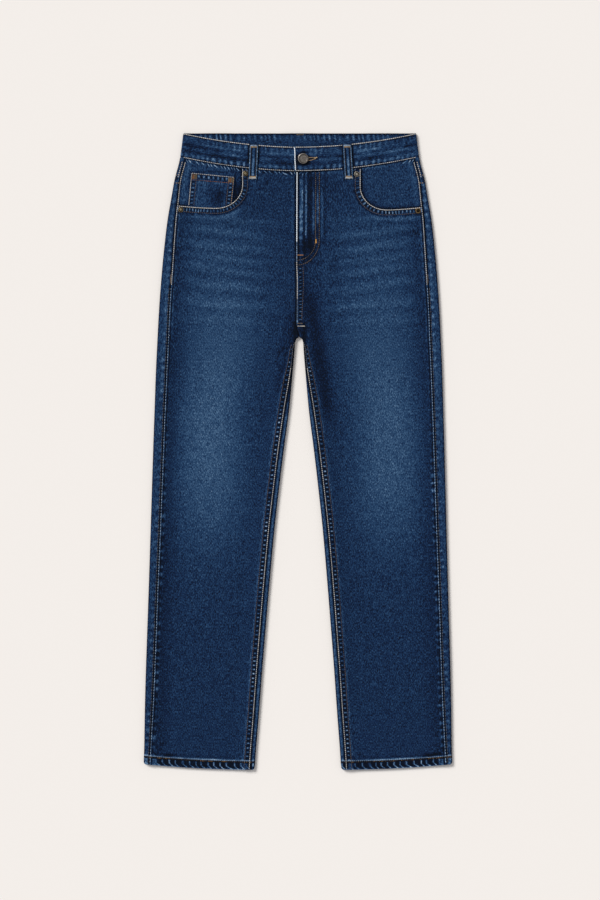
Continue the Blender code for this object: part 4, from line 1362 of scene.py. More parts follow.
@dataclass
class Pockets:
    """The facings inside the front pockets, the coin pocket, and the patch pockets on the back."""

    def facing(self, side: int, denim: Material) -> Object:
        """A facing, from the side seam inwards.

        Args:
            side: RIGHT or LEFT.
            denim: Its finish.

        Returns:
            The piece.
        """
        mouth = MOUTHS[side]
        corner = mouth.inner + mouth.corner
        inner = mouth.inner - FACING_MARGIN
        tall = mouth.depth - mouth.straight + FACING_MARGIN
        down = np.linspace(0, 1, 66)[:, None]
        seam_drop = blend(BAND + 5 * GAP, mouth.straight + tall - MOUTH_RISE, down)
        seam = side_seam(seam_drop) - GAP / 2
        column = np.concatenate([np.linspace(0, 0.1, 13), np.linspace(0.1, 1, 74)[1:]])[None, :]
        out = blend(seam, inner, column)
        across = np.clip((corner - out) / (corner - inner), 0.0, 1.0)
        rise = MOUTH_RISE * np.maximum(out - corner, 0.0) / (seam - corner)
        drop = blend(band_foot(out) + GAP, mouth.straight + tall * np.sqrt(1 - across ** 2) - rise, down)
        drop[:, 0] = seam_drop[:, 0]
        grid = Grid.level(side, out, drop, top_height(side, out, drop))
        far = nearest(out, drop, mouth_edge(side, 30))[0]
        under = drop - band_foot(out)
        wear = WearAndShade.plain(out.shape, 0.3 if side == RIGHT else 0.25)
        # Dark where the front's edge shades it
        wear.fade -= 1.3 * bell(far, 1.5 * MM) + 0.4 * bell(far, 4.5 * MM)
        UNDER_BAND.lay(wear, under, out, seed=3 + side, lean=0.9 * under / MM)
        wear.fade += 0.4 * bell(seam - out - 8.5 * MM, 3 * MM) * (0.7 + 0.4 * wander(drop, 3))
        # Painted shade along the side seam
        wear.fade -= 1.2 * bell(seam - out, 0.7 * MM) + 0.5 * bell(seam - out - 3 * MM, 0.8 * MM)
        if side == RIGHT:  # the coin pocket's shade, and the hollow at its low inner corner
            wear.fade -= 0.8 * bell(np.hypot(out - 101 * MM, (drop - 96 * MM) / 1.5), 9 * MM)
            beside = np.maximum(COIN.inner - out, out - COIN.outer - 2 * MM)
            beside = np.maximum(beside, COIN.top_outer - drop)
            wear.fade -= 0.6 * bell(beside - 0.8 * MM, 1.0 * MM)
        wear.relief += 0.08 * MM * np.sin(out / (9 * MM)) * np.sin(drop / (11 * MM))
        return cloth_piece(f"pocket_facing_{WORDS[side]}", grid, wear, denim, (f"cloth_back_{WORDS[side]}",))

    def coin(self, denim: Material) -> Object:
        """The coin pocket, with a turned and double-stitched edge.

        Args:
            denim: Its finish.

        Returns:
            The piece.
        """
        down, share = np.linspace(0, 1, 54)[:, None], np.linspace(0, 1, 66)[None, :]
        out, drop = coin_place(share, down)
        top = drop - coin_place(share, 0.0)[1]
        left, right = COIN.outer + COIN.taper * down - out, out - COIN.inner - COIN.taper * down
        edge = np.minimum(np.minimum(top, left), right)
        wear = WearAndShade.plain(out.shape, 0.4)
        COIN_EDGE.lay(wear, edge, np.where(top < np.minimum(left, right), 0.85 * out, 1.05 * drop), seed=2)
        # Painted shade in a hollow low on the pocket, towards its inner side
        wear.fade -= 0.95 * bell(np.hypot(out - 129 * MM, drop - 103 * MM), 12 * MM)
        grid = Grid.level(RIGHT, out, drop, top_height(RIGHT, out, drop) + GAP + CLOTH)
        return cloth_piece("coin_pocket", grid, wear, denim, ("cloth_pocket_facing_right",))

    def patch(self, side: int, denim: Material) -> Object:
        """A patch pocket, pressed flat between the seat and the surface.

        Args:
            side: RIGHT or LEFT.
            denim: Its finish.

        Returns:
            The piece.
        """
        down, share = np.linspace(0, 1, 66)[:, None], np.linspace(0, 1, 58)[None, :]
        point = PATCH.point * (1 - np.abs(2 * share - 1))
        out = blend(PATCH.inner, PATCH.outer, share)
        drop = blend(patch_top(out), PATCH.side + point, down)
        out = out + PATCH.taper * (1 - 2 * share) * down
        top = drop - patch_top(out)
        sides = np.minimum(share, 1 - share) * (PATCH.outer - PATCH.inner - 2 * PATCH.taper * down)
        foot = PATCH.side + point - drop
        edge = np.minimum(np.minimum(sides, foot), top)
        wear = WearAndShade.plain(out.shape, 0.25)
        COIN_EDGE.lay(wear, edge, np.where((top < sides) | (foot < sides), out, drop), seed=side)
        wear.fade += 0.5 * bell(edge, 1.5 * MM)
        wear.fade += 0.25 * bell(np.hypot(out - 105 * MM, drop - 200 * MM), 40 * MM)
        wear.relief = np.minimum(-wear.relief, 0.0)
        grid = Grid.level(side, out, drop, 0.0, up=-1.0)
        return cloth_piece(f"back_pocket_{WORDS[side]}", grid, wear, denim)

    def make(self, denim: Material) -> list:
        """Build the pockets' five pieces."""
        made = [self.facing(side, denim) for side in WORDS] + [self.coin(denim)]
        return made + [self.patch(side, denim) for side in WORDS]


@dataclass
class Fly:
    """The J-shaped facing under the left front, and the closed zip behind it."""

    zip_width: float = 15 * MM
    zip_level: float = 2.3 * MM  # the tape's middle
    zip_top: float = 82 * MM
    zip_bottom: float = 205 * MM
    tape_cloth: float = 0.5 * MM
    tooth: tuple = (3.2 * MM, 1.5 * MM, 1.1 * MM)
    tooth_pitch: float = 2.4 * MM
    stagger: float = 0.9 * MM  # how far the teeth of each side stand off the middle

    def facing(self, denim: Material) -> Object:
        """The facing.

        Args:
            denim: Its finish.

        Returns:
            The piece.
        """
        inner = FLY_SEAM + FLY_TUCK + GAP
        out = np.linspace(inner, FLY_WIDTH, 17)[None, :]
        across = (out - inner) / (FLY_WIDTH - inner)
        foot = FLY_STRAIGHT + (FLY_END - FLY_STRAIGHT) * np.sqrt(1 - across ** 2)
        drop = blend(band_foot(out) + GAP, foot, np.linspace(0, 1, 60)[:, None])
        grid = Grid.level(LEFT, out, drop, HIP_LEVEL + CLOTH)
        return cloth_piece("fly_facing", grid, WearAndShade.plain(drop.shape, 0.1), denim, ("cloth_back_left",))

    def tape(self, finish: Material) -> Object:
        """The zip's two tapes, pressed edge to edge.

        Args:
            finish: Its finish.

        Returns:
            The piece.
        """
        out = np.linspace(-self.zip_width / 2, self.zip_width / 2, 9)[None, :]
        drop = np.linspace(self.zip_top, self.zip_bottom, 42)[:, None]
        grid = Grid.level(LEFT, out, drop, self.zip_level + self.tape_cloth / 2, self.tape_cloth)
        return cloth_piece("zip", grid, WearAndShade.plain(grid.out.shape), finish,
                           ("cloth_back_left", "cloth_back_right"), name="zip_tape", slot="zip_tape")

    def teeth(self, metal: Material) -> Object:
        """The zip's meshed teeth, modelled once and copied.

        Args:
            metal: Its finish.

        Returns:
            The piece.
        """
        bpy.ops.mesh.primitive_cube_add(size=1, location=(0, 0, 0))
        tooth = bpy.context.object
        tooth.scale = self.tooth
        bpy.ops.object.transform_apply(scale=True)
        bpy.ops.object.mode_set(mode="EDIT")
        bpy.ops.mesh.bevel(offset=0.3 * MM, segments=1)
        bpy.ops.object.mode_set(mode="OBJECT")
        verts = np.array([v.co for v in tooth.data.vertices])
        faces = [tuple(p.vertices) for p in tooth.data.polygons]
        bpy.data.objects.remove(tooth, do_unlink=True)
        drops = ramp_steps(self.zip_top + 9 * MM, self.zip_bottom - 3 * MM, self.tooth_pitch)
        places = [verts + np.array((*plan(LEFT, self.stagger * (-1) ** (i + 1), drop), self.zip_level))
                  for i, drop in enumerate(drops)]
        piece = add_piece("zip_teeth", copies("zip_teeth", faces, places), metal)
        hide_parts("zip")
        return piece

    def make(self, denim: Material, tape: Material, metal: Material) -> list:
        """Build the facing, the tapes and the teeth."""
        return [self.facing(denim), self.tape(tape), self.teeth(metal)]


@dataclass
class Waistband:
    """One strip round the waist, buttoned over itself at the fly, with five belt loops."""

    rows: int = 30
    overlap: int = 36  # columns of the overlap, the left front, a side fold, the back and the right front
    left: int = 60
    fold: int = 10
    seat: int = 150
    right: int = 96

    def strip(self) -> tuple:
        """The band's grid, from its overlapping end to its under end, and the run along it.

        Returns:
            The grid, its rows' distances from the top, and the run.
        """
        share = np.linspace(0.0, 1.0, self.rows)[:, None]
        edges = BAND * (share - 0.055 * np.sin(2 * math.pi * share))  # closer rows at both edges
        reach = outer_fold(edges) - ROUND
        overlap_end = BAND_UNDER_END + 1.35 * LIFT_RUN

        def front(side: int, out: Array, lift: Array = 0.0) -> tuple:
            """A stretch on the front."""
            return side, out, waist_dip(out) + edges, FOLD + lift, 0.0, 1.0

        def fold(side: int, share: Array) -> tuple:
            """A stretch round a side fold, shares of the way from the front to the back."""
            angle = math.pi / 2 - math.pi * share
            over, up = np.cos(angle), np.sin(angle)
            return side, reach + ROUND * over, edges, ROUND * (1 + up), over, up

        along = np.linspace(0, 1, self.overlap)[None, :-1] ** 1.25
        over = blend(BAND_OVER_END, overlap_end, along) - END_LEAN * (1 - share) ** 1.5 * (1 - along)
        lift = (BAND_CLOTH + GAP) * ease((overlap_end - over) / LIFT_RUN)
        seat = blend(reach, -reach, np.linspace(0, 1, self.seat)[None, 1:])
        back = np.where(seat > 0, *(back_lift(side, np.abs(seat), edges) for side in (LEFT, RIGHT)))
        turns = np.linspace(0, 1, self.fold)[None, 1:]
        left = blend(overlap_end, reach, np.linspace(0, 1, self.left)[None, :])
        right = blend(reach, -BAND_UNDER_END, np.linspace(0, 1, self.right)[None, 1:])
        grid = Grid(*join([
            front(LEFT, over, lift), front(LEFT, left), fold(LEFT, turns),
            (np.where(seat > 0, LEFT, RIGHT), np.abs(seat), edges, back, 0.0, -1.0),
            fold(RIGHT, 1 - turns), front(RIGHT, right)]), BAND_CLOTH)
        steps = np.linalg.norm(np.diff(grid.points(), axis=1), axis=2)
        return grid, edges, np.pad(np.cumsum(steps, axis=1), ((0, 0), (1, 0)))

    def band(self, denim: Material) -> Object:
        """The band itself.

        Args:
            denim: Its finish.

        Returns:
            The piece.
        """
        grid, down, run = self.strip()
        foot = BAND - down
        on_top = (grid.lean_up > 0.5) * 1.0
        x, y = grid.points()[..., 0], grid.points()[..., 1]
        wear = WearAndShade.plain(run.shape, 0.25)
        wear.fade += 0.22 * np.sin(run / (23 * MM)) * np.sin(down / (9 * MM) + run / (40 * MM))
        along = np.where(on_top > 0, grid.side * grid.out, run)
        BAND_TOP.lay(wear, down, along, seed=6)
        BAND_FOOT.lay(wear, foot, along, seed=3)
        # The band's end is pale where rubbed, with painted shade beside its row
        wear.fade += on_top * (1.4 * bell(run - 0.6 * MM, 0.9 * MM) - 0.8 * bell(run - 3.2 * MM, 1.2 * MM))
        # The shade that the button and the loops cast
        low, high = (Vector(corner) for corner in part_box("button"))
        centre = (low + high) / 2
        far = np.hypot(x - centre.x, y - centre.y)
        wear.fade -= on_top * 1.4 * bell(far - 10 * MM, 1.7 * MM)
        for loop in FRONT_LOOPS:
            middle = blend(loop.top, loop.bottom, down / BAND)
            beside = np.abs(grid.side * grid.out - loop.side * middle) - LOOP_WIDTH / 2
            wear.fade -= on_top * 1.9 * bell(beside - 0.9 * MM, 1.2 * MM)
        for edge, middle, depth in ((down, 0.0, 0.45), (foot, 0.0, 0.4), (foot, 1.6, 0.2), (down, 1.8, 0.2)):
            wear.relief -= depth * MM * bell(edge - middle * MM, 0.9 * MM)
        wear.relief = np.where(grid.lean_up < -0.5, np.minimum(wear.relief, 0.0), wear.relief)
        # Painted shade in the buttonhole's slit
        slit = plateau(x - centre.x, 7 * MM, 24 * MM, 2 * MM) * bell(y - centre.y, 0.9 * MM)
        wear.fade -= on_top * 1.8 * slit
        # Its inner face: painted shade along the top edge, under the front's edge
        inside = 0.1 - 1.6 * bell(down, 1.6 * MM) + 0.2 * bell(down - 7 * MM, 2.5 * MM)
        return cloth_piece("waistband", grid, wear, denim, ("cloth_yoke_right", "cloth_yoke_left"),
                           curved=True, inside=inside, inside_rope=1.7)

    def loop(self, loop: Loop, front: bool, denim: Material) -> Object:
        """One belt loop, over the front band or under the back band.

        Args:
            loop: Which loop.
            front: Whether it is on the front.
            denim: Its finish.

        Returns:
            The piece.
        """
        share = np.linspace(0, 1, 34)[:, None]
        offset = np.linspace(-LOOP_WIDTH / 2, LOOP_WIDTH / 2, 19)[None, :]
        middle, drop = loop_place(loop, share)
        height, up = FOLD + GAP + LOOP_CLOTH + LOOP_ARCH * np.sin(math.pi * share) ** 0.7, 1.0
        if not front:
            drop, height, up = blend(LOOP_ABOVE, BAND + LOOP_BELOW - 2 * MM, share), 0.0, -1.0
        grid = Grid.level(loop.side, middle + offset, drop, height, LOOP_CLOTH, up)
        rim = LOOP_WIDTH / 2 - np.abs(offset)
        wear = WearAndShade.plain(grid.out.shape, 0.15)
        # Pale along its middle and its folded edges where rubbed; painted shade beside its rows; darker at
        # its upper end
        wear.fade += 1.2 * bell(offset, 1.5 * MM) * (0.9 + 0.9 * wander(drop * 3, 1))
        wear.fade += 1.5 * bell(rim - 0.4 * MM, 0.9 * MM) - 1.7 * bell(rim - 2.9 * MM, 0.8 * MM)
        wear.fade += 0.8 * bell((1 - share) * (BAND + LOOP_BELOW), 1.0 * MM) - 0.5 * bell(share, 0.03)
        wear.relief -= 0.25 * MM * bell(rim, 0.8 * MM) + 0.15 * MM * bell(rim - 1.9 * MM, 0.8 * MM)
        return cloth_piece(loop.name, grid, wear, denim, ("cloth_waistband",))

    def make(self, denim: Material, loop_denim: Material) -> list:
        """Build the band and its loops.

        Args:
            denim: The band's finish.
            loop_denim: The loops' finish.

        Returns:
            The pieces.
        """
        made = [self.band(denim)]
        made += [self.loop(loop, True, loop_denim) for loop in FRONT_LOOPS]
        return made + [self.loop(loop, False, loop_denim) for loop in BACK_LOOPS]


# Metal fittings


def select_top(piece: Object) -> None:
    """In edit mode, select the faces that look straight up, and nothing else.

    Args:
        piece: The piece.
    """
    bpy.ops.mesh.select_all(action="DESELECT")
    bpy.ops.object.mode_set(mode="OBJECT")
    for face in piece.data.polygons:
        face.select = face.normal.z > 0.9
    bpy.ops.object.mode_set(mode="EDIT")
    bpy.ops.mesh.select_mode(type="FACE")


@dataclass(frozen=True)
class Turned:
    """A round fitting's size, and how it is built up from its foot."""

    slot: str
    sides: int
    radius: float
    height: float
    foot: tuple  # the foot's radius and height, as shares of the whole
    rings: tuple  # how far each ring stands out, as a share of the radius, and how far up, of the height


@dataclass
class Fittings:
    """The shank button and the four rivets."""

    button: Turned = Turned(  # a domed cap with a raised rim round a sunk, plain centre, on a short shank
        "button_metal", 64, 8.5 * MM, 2.6 * MM, (0.55, 0.3),
        ((0.96, 0.08), (1.0, 0.18), (0.985, 0.22), (0.93, 0.12), (0.84, 0.02), (0.77, -0.12), (0.72, -0.04),
         (0.5, 0.03), (0.28, 0.02)))
    rivet: Turned = Turned(  # a flat collar round a small domed head
        "rivet_metal", 40, 4.3 * MM, 1.0 * MM, (0.94, 0.25),
        ((1.0, 0.12), (0.98, 0.25), (0.86, 0.16), (0.72, -0.02), (0.6, -0.16), (0.52, -0.04), (0.46, 0.3),
         (0.3, 0.12), (0.12, 0.03)))

    @staticmethod
    def build(size: Turned, name: str, node: str, metals: tuple, groove: tuple) -> Object:
        """One fitting in its node's place, with its bright metal and its tarnished metal.

        Args:
            size: Its shape.
            name: Its name.
            node: The node that it replaces.
            metals: The bright and the tarnished finish.
            groove: Where the tarnished ring starts and ends, as shares of the radius.

        Returns:
            The fitting's object.
        """
        low, high = (Vector(corner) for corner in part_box(node))
        centre = (low + high) / 2
        radius, deep = size.foot[0], size.foot[1] * size.height
        bpy.ops.mesh.primitive_cylinder_add(vertices=size.sides, radius=radius * size.radius, depth=deep,
                                            location=(centre.x, centre.y, low.z + deep / 2))
        piece = bpy.context.object
        bpy.ops.object.transform_apply(location=True)
        bpy.ops.object.mode_set(mode="EDIT")
        select_top(piece)
        for wide, up in size.rings:
            bpy.ops.mesh.extrude_region_move(TRANSFORM_OT_translate={"value": (0, 0, up * size.height)})
            bpy.ops.transform.resize(value=(wide / radius, wide / radius, 1),
                                     center_override=(centre.x, centre.y, 0))
            radius = wide
        bpy.ops.object.mode_set(mode="OBJECT")
        piece.name = piece.data.name = name
        piece.data.materials.clear()
        for metal in metals:
            piece.data.materials.append(metal)
        for face in piece.data.polygons:
            far = (face.center - centre).xy.length / size.radius
            face.material_index = int(groove[0] < far < groove[1])
        bpy.ops.object.shade_smooth_by_angle(angle=math.radians(35))
        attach(piece, "root")
        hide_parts(node)
        return piece

    def make(self, nickel: tuple, brass: tuple, grey: tuple, brown: tuple) -> list:
        """Build the button and the rivets, each with its bright and its tarnished metal.

        Args:
            nickel: The button's metals, bright and tarnished.
            brass: The right side's rivets'.
            grey: The left inner rivet's.
            brown: The left outer rivet's.

        Returns:
            The pieces.
        """
        made = [self.build(self.button, "shank_button", "button", nickel, (0.7, 0.86))]
        for place, metals, groove in (("right_inner", brass, (0.5, 0.9)), ("right_outer", brass, (0.5, 0.9)),
                                      ("left_inner", grey, (0.5, 0.9)), ("left_outer", brown, (-1.0, 0.72))):
            made.append(self.build(self.rivet, f"dressed_rivet_{place}", f"rivet_{place}", metals, groove))
        return made


# Sewing


@dataclass(frozen=True)
class Stitch:
    """The size of a seam's stitches."""

    pitch: float = 3.2 * MM
    length: float = 2.7 * MM
    width: float = 1.05 * MM  # real thread is 0.6 mm: drawn fuller, so that it shows
    proud: float = 0.42 * MM


LOCK = Stitch()
THIN = Stitch(width=0.8 * MM, length=2.6 * MM)
FINE = Stitch(pitch=4.6 * MM, length=3.2 * MM, width=0.75 * MM, proud=0.3 * MM)
LIP = Stitch(pitch=1.0 * MM, length=1.5 * MM, width=0.95 * MM, proud=0.5 * MM)
HEAVY = Stitch(width=1.3 * MM, length=3.0 * MM)
BOLD = Stitch(width=1.8 * MM, length=3.2 * MM)
TACK = Stitch(pitch=0.95 * MM, length=2.6 * MM, width=0.85 * MM, proud=0.5 * MM)


@dataclass
class Sewing:
    """All the topstitching, laid on the finished cloth stitch by stitch."""

    clear: float = 50 * MM  # a height that is clear of the garment, from where its cloth is looked for
    grounds: dict = field(default_factory=dict)

    def ground(self, pieces: list) -> BVHTree:
        """What the thread lies on: some pieces' faces together.

        Args:
            pieces: The pieces.

        Returns:
            Their faces, ready to be hit by rays.
        """
        key = tuple(sorted(piece.name for piece in pieces))
        if key not in self.grounds:
            verts, faces = [], []
            for piece in pieces:
                start = len(verts)
                verts += [v.co.copy() for v in piece.data.vertices]
                faces += [tuple(start + v for v in face.vertices) for face in piece.data.polygons]
            self.grounds[key] = BVHTree.FromPolygons(verts, faces)
        return self.grounds[key]

    @staticmethod
    def capsule(size: Stitch) -> tuple:
        """One stitch lying along X with its middle raised: a few rings closed at both ends.

        Args:
            size: The stitches' size.

        Returns:
            Its points and its faces.
        """
        rings, sides = ((-0.38, 0.35), (0.0, 1.0), (0.38, 0.35)), 5
        verts = [(-0.5 * size.length, 0.0, -0.25 * size.proud)]
        for along, lift in rings:
            for i in range(sides):
                angle = 2 * math.pi * i / sides + math.pi / 2
                verts.append((along * size.length, 0.5 * size.width * math.cos(angle),
                              size.proud * (0.25 + 0.35 * lift) + 0.42 * size.proud * math.sin(angle)))
        verts.append((0.5 * size.length, 0.0, -0.25 * size.proud))
        last = len(verts) - 1
        faces = []
        for i in range(sides):
            j = (i + 1) % sides
            faces.append((0, 1 + j, 1 + i))
            faces.append((last, 1 + 2 * sides + i, 1 + 2 * sides + j))
            for ring in (0, 1):
                a, b = 1 + ring * sides, 1 + (ring + 1) * sides
                faces.append((a + i, a + j, b + j, b + i))
        return np.array(verts), faces

    def sew(self, name: str, paths: list, on: list, thread: Material, size: Stitch = LOCK,
            face: Face = Face.TOP, across: bool = False) -> Object:
        """Lay stitches along some paths.

        Args:
            name: The seam's name.
            paths: Polylines of (x, y) points.
            on: The pieces that it is sewn on.
            thread: The thread's finish.
            size: The stitches' size.
            face: The face of the garment.
            across: Whether each stitch lies across the path, as in a bar tack.

        Returns:
            The seam's object.
        """
        tree = self.ground(on)
        shape, faces = self.capsule(size)
        way = face.value
        ray, from_height = Vector((0, 0, way)), -way * self.clear
        placed = []
        for path in paths:
            path = np.asarray(path, float)
            length = np.linalg.norm(np.diff(path, axis=0), axis=1).sum()
            count = max(1, round(length / size.pitch))
            spots = evenly(path, 2 * count + 1)
            for i in range(count):
                before, middle, after = spots[2 * i], spots[2 * i + 1], spots[2 * i + 2]
                along = (after - before) / np.hypot(*(after - before))
                if across:
                    along = np.array((-along[1], along[0]))
                hits = [tree.ray_cast(Vector((*(middle + along * shift * size.length), from_height)), ray)[0]
                        for shift in (-0.4, 0.0, 0.4)]
                if None in hits:
                    continue
                x_axis = (hits[2] - hits[0]).normalized()
                y_axis = Vector((-x_axis.y, x_axis.x, 0)).normalized() * -way
                wobble = 1 + 0.06 * math.sin(37.0 * i + 11.0 * len(placed))
                basis = np.array((x_axis * wobble, y_axis, x_axis.cross(y_axis)))
                height = max(hit.z * -way for hit in hits) * -way if across else hits[1].z
                points = shape @ basis + np.array((hits[1].x, hits[1].y, height))
                if face is Face.UNDERSIDE:  # pressed flat between the cloth and the surface
                    points[:, 2] = np.maximum(points[:, 2], -0.04 * MM)
                placed.append(points)
        mesh = copies(name, faces, placed)
        mesh.shade_smooth()
        return add_piece(name, mesh, thread)


@dataclass(frozen=True)
class Row:
    """A row of stitches along a leg's seam."""

    name: str
    curve: Callable
    aside: float  # mm outwards from the curve; the inseam's shrink with its welt
    start: float  # drops, mm
    end: float
    thread: str
    on: tuple = ("front",)
    size: Stitch = LOCK


TOP = ("front", "back", "yoke", "pocket_facing")
LEG_ROWS = (
    Row("outseam", side_seam, -1.2, 47, 246, "light", TOP),
    Row("outseam_second", side_seam, 3.9, 46, 72, "light", TOP),
    Row("outseam_edge", side_seam, -1.0, 250, 1027, "faded", ("front",), FINE),
    Row("outseam_under_edge", side_seam, 2.4, 250, 1027, "dull", ("back",), FINE),
    Row("inseam_crotch", inseam, 0.8, 338, 380, "dull"),
    Row("inseam_edge", inseam, 0.8, 380, 1029, "light"),
    Row("inseam_inner", inseam, 0.5 + ROW_GAP / MM, 342, 1029, "brown", ("front",), THIN),
)


def spot(side: int, *points: tuple) -> Array:
    """A path in plan through points given as millimetres out and drop."""
    return plan(side, *(MM * np.array(column, float) for column in zip(*points)))


@dataclass
class Seams:
    """Where each row of stitching runs."""

    sewing: Sewing
    cloth: dict
    threads: dict
    hem_row: float = 12.4 * MM  # above the leg's end
    hem_ridge: float = 14.3 * MM
    made: list = field(default_factory=list)

    def sew(self, name: str, paths: list, on: tuple, thread: str, size: Stitch = LOCK, face: Face = Face.TOP,
            across: bool = False) -> None:
        """Sew one seam on some pieces, given by the ends of their names."""
        self.made.append(self.sewing.sew(name, paths, [self.cloth[f"cloth_{piece}"] for piece in on],
                                         self.threads[thread], size, face, across))

    def tack(self, name: str, paths: list, on: tuple, thread: str, size: Stitch = TACK) -> None:
        """Sew a bar tack: close stitches that lie across their path."""
        self.sew(name, paths, on, thread, size, across=True)

    @staticmethod
    def offset(line: Array, distance: float) -> Array:
        """A polyline moved sideways, to the left of its own direction where distance is positive.

        Args:
            line: The polyline.
            distance: How far.

        Returns:
            The moved polyline.
        """
        step = np.gradient(line, axis=0)
        step /= np.linalg.norm(step, axis=1)[:, None]
        return line + distance * np.stack([-step[:, 1], step[:, 0]], axis=1)

    def legs(self) -> None:
        """Outseams, inseams, hems, and the yoke seams where they come round the side."""
        for side, word in WORDS.items():
            def on(pieces: tuple) -> tuple:
                """This leg's pieces."""
                return tuple(f"{piece}_{word}" for piece in pieces)

            for row in LEG_ROWS:
                drops = ramp_steps(row.start * MM, row.end * MM)
                narrow = welt_share(drops) if row.curve is inseam else 1.0
                out = row.curve(drops) + row.aside * narrow * MM
                path = plan(side, out, drops - np.where(drops > CROTCH, hem_rise(out, drops), 0.0))
                self.sew(f"{row.name}_{word}", [path], on(row.on), row.thread, row.size)
            ends = [curve(LENGTH) for curve in (inner_fold, outer_fold)]
            out = ramp_steps(ends[0] + 1.2 * MM, ends[1] - 1.2 * MM)
            rise = hem_rise(out, LENGTH - self.hem_row)
            row, ridge = ([plan(side, out, LENGTH - up - rise)] for up in (self.hem_row, self.hem_ridge))
            self.sew(f"hem_row_{word}", row, on(("front", "back")), "hem", THIN)
            self.sew(f"hem_ridge_{word}", ridge, on(("front", "back")), "faded", THIN)
            self.sew(f"hem_row_back_{word}", row, on(("back",)), "hem", THIN, Face.UNDERSIDE)
            low, high = side_seam(YOKE_SIDE) / MM + 0.6, outer_fold(YOKE_SIDE) / MM - 1.0
            self.sew(f"yoke_rows_{word}", [spot(side, (low, drop), (high, drop)) for drop in (67.9, 80.7)],
                     on(TOP), "tan")
            place = side_seam(236 * MM) / MM + 0.4
            self.tack(f"outseam_tack_{word}", [spot(side, (place, 229), (place, 243))], on(("front", "back")),
                      "brown")

    def pockets(self) -> None:
        """Pocket mouths, the coin pocket and the patch pockets."""
        for side, word in WORDS.items():
            edge = mouth_edge(side, 60)
            for row, gap, thread, size in (("edge", 1.0, "light", HEAVY), ("inner", 8.9, "brown", THIN)):
                line = self.offset(edge, gap * MM)
                line = line[(line[:, 0] < side_seam(line[:, 1]) - 1.2 * MM)
                            & (line[:, 1] > band_foot(line[:, 0]) + 1.5 * MM)]
                self.sew(f"mouth_{row}_{word}", [plan(side, *line.T)], (f"front_{word}",), thread, size)
            outline = np.array([(PATCH.inner, PATCH.top_inner), (PATCH.inner + PATCH.taper, PATCH.side),
                                ((PATCH.inner + PATCH.outer) / 2, PATCH.side + PATCH.point),
                                (PATCH.outer - PATCH.taper, PATCH.side), (PATCH.outer, PATCH.top_outer)])
            centre, half = outline.mean(axis=0), 58 * MM
            rows = [centre + (outline - centre) * (1 - gap / half) for gap in (2 * MM, 8 * MM)]
            out = ramp_steps(PATCH.inner + 2 * MM, PATCH.outer - 2 * MM)
            rows += [np.stack([out, patch_top(out) + gap], axis=1) for gap in (2 * MM, 13 * MM)]
            self.sew(f"patch_rows_{word}", [plan(side, *line.T) for line in rows],
                     (f"back_pocket_{word}",), "brown", face=Face.UNDERSIDE)

        def corner(across: float, down: float) -> Array:
            """A point of the coin pocket by how far it is from its inner side and from its top."""
            share = across * MM / (COIN.outer - COIN.inner)
            return plan(RIGHT, *coin_place(share, down * MM / (COIN.bottom - COIN.top_outer)))

        wide, low = (COIN.outer - COIN.inner) / MM, 53
        rim, second, hem = 1.3, 9.4, 11.8  # how far in the rows lie at the edges, the sides and the top
        for name, thread, size, ends in (  # each row's ends: from the inner side, from the top
                ("top_edge", "light", LOCK, ((rim, rim), (wide - rim, rim))),
                ("top_inner", "copper", THIN, ((rim, hem), (wide - rim, hem))),
                ("outer_edge", "light", LOCK, ((wide - rim, rim), (wide - rim, low))),
                ("inner_edge", "tan", LOCK, ((rim, rim), (rim, low))),
                ("outer_inner", "brown", THIN, ((wide - second, rim), (wide - second, low))),
                ("inner_inner", "brown", THIN, ((second, rim), (second, low)))):
            self.sew(f"coin_{name}", [[corner(*end) for end in ends]], ("coin_pocket",), thread, size)
        for name, thread, shifts in (("tan", "tack", (-3.6, -1.2, 3.6)), ("copper", "copper", (1.2,))):
            self.tack(f"coin_tacks_{name}", [[corner(middle + shift, 2.4), corner(middle + shift, 10.4)]
                                             for middle in (wide - 5.6, 5.4) for shift in shifts],
                      ("coin_pocket",), thread)

    def fly(self) -> None:
        """The fly's edge, its J, the front seam and the tacks."""
        front = ("front_left",)
        start = band_foot(0.0) / MM + 1.5
        for name, thread, size, end in (  # the edge's thread is rubbed away towards the crotch
                ("fly_edge", "white", BOLD, 176), ("fly_edge_rubbed", "faded", LOCK, 208),
                ("fly_edge_low", "light", HEAVY, 268), ("fly_edge_crotch", "dull", LOCK, 303)):
            drops = ramp_steps(start * MM, end * MM)
            self.sew(name, [plan(LEFT, front_seam(drops) + 0.9 * MM, drops)], front, thread, size)
            start = end
        drops = ramp_steps(216 * MM, 303 * MM)
        away = blend(10.8 * MM, 8.4 * MM, ease((drops - 240 * MM) / (60 * MM)))
        self.sew("front_seam_row", [plan(LEFT, front_seam(drops) + away, drops)], front, "brown", THIN)
        self.sew("fly_j_rows", [plan(LEFT, *fly_j(*bend).T) for bend in J_ROWS], front, "brown")
        self.tack("fly_j_tack", [spot(LEFT, (26.8, 171.5), (26.8, 178))], front, "gold")
        self.tack("fly_foot_tack", [spot(LEFT, (-3.9, 197.3), (6.4, 197.3))], front, "orange", LIP)
        both = ("front_left", "front_right")
        self.tack("crotch_tack_upper", [spot(LEFT, (-3.5, 307.8), (5.4, 307.8))], both, "tack", LIP)
        self.tack("crotch_tack_lower", [spot(LEFT, (-3.0, 312.2), (9.6, 312.2))], both, "light", LIP)

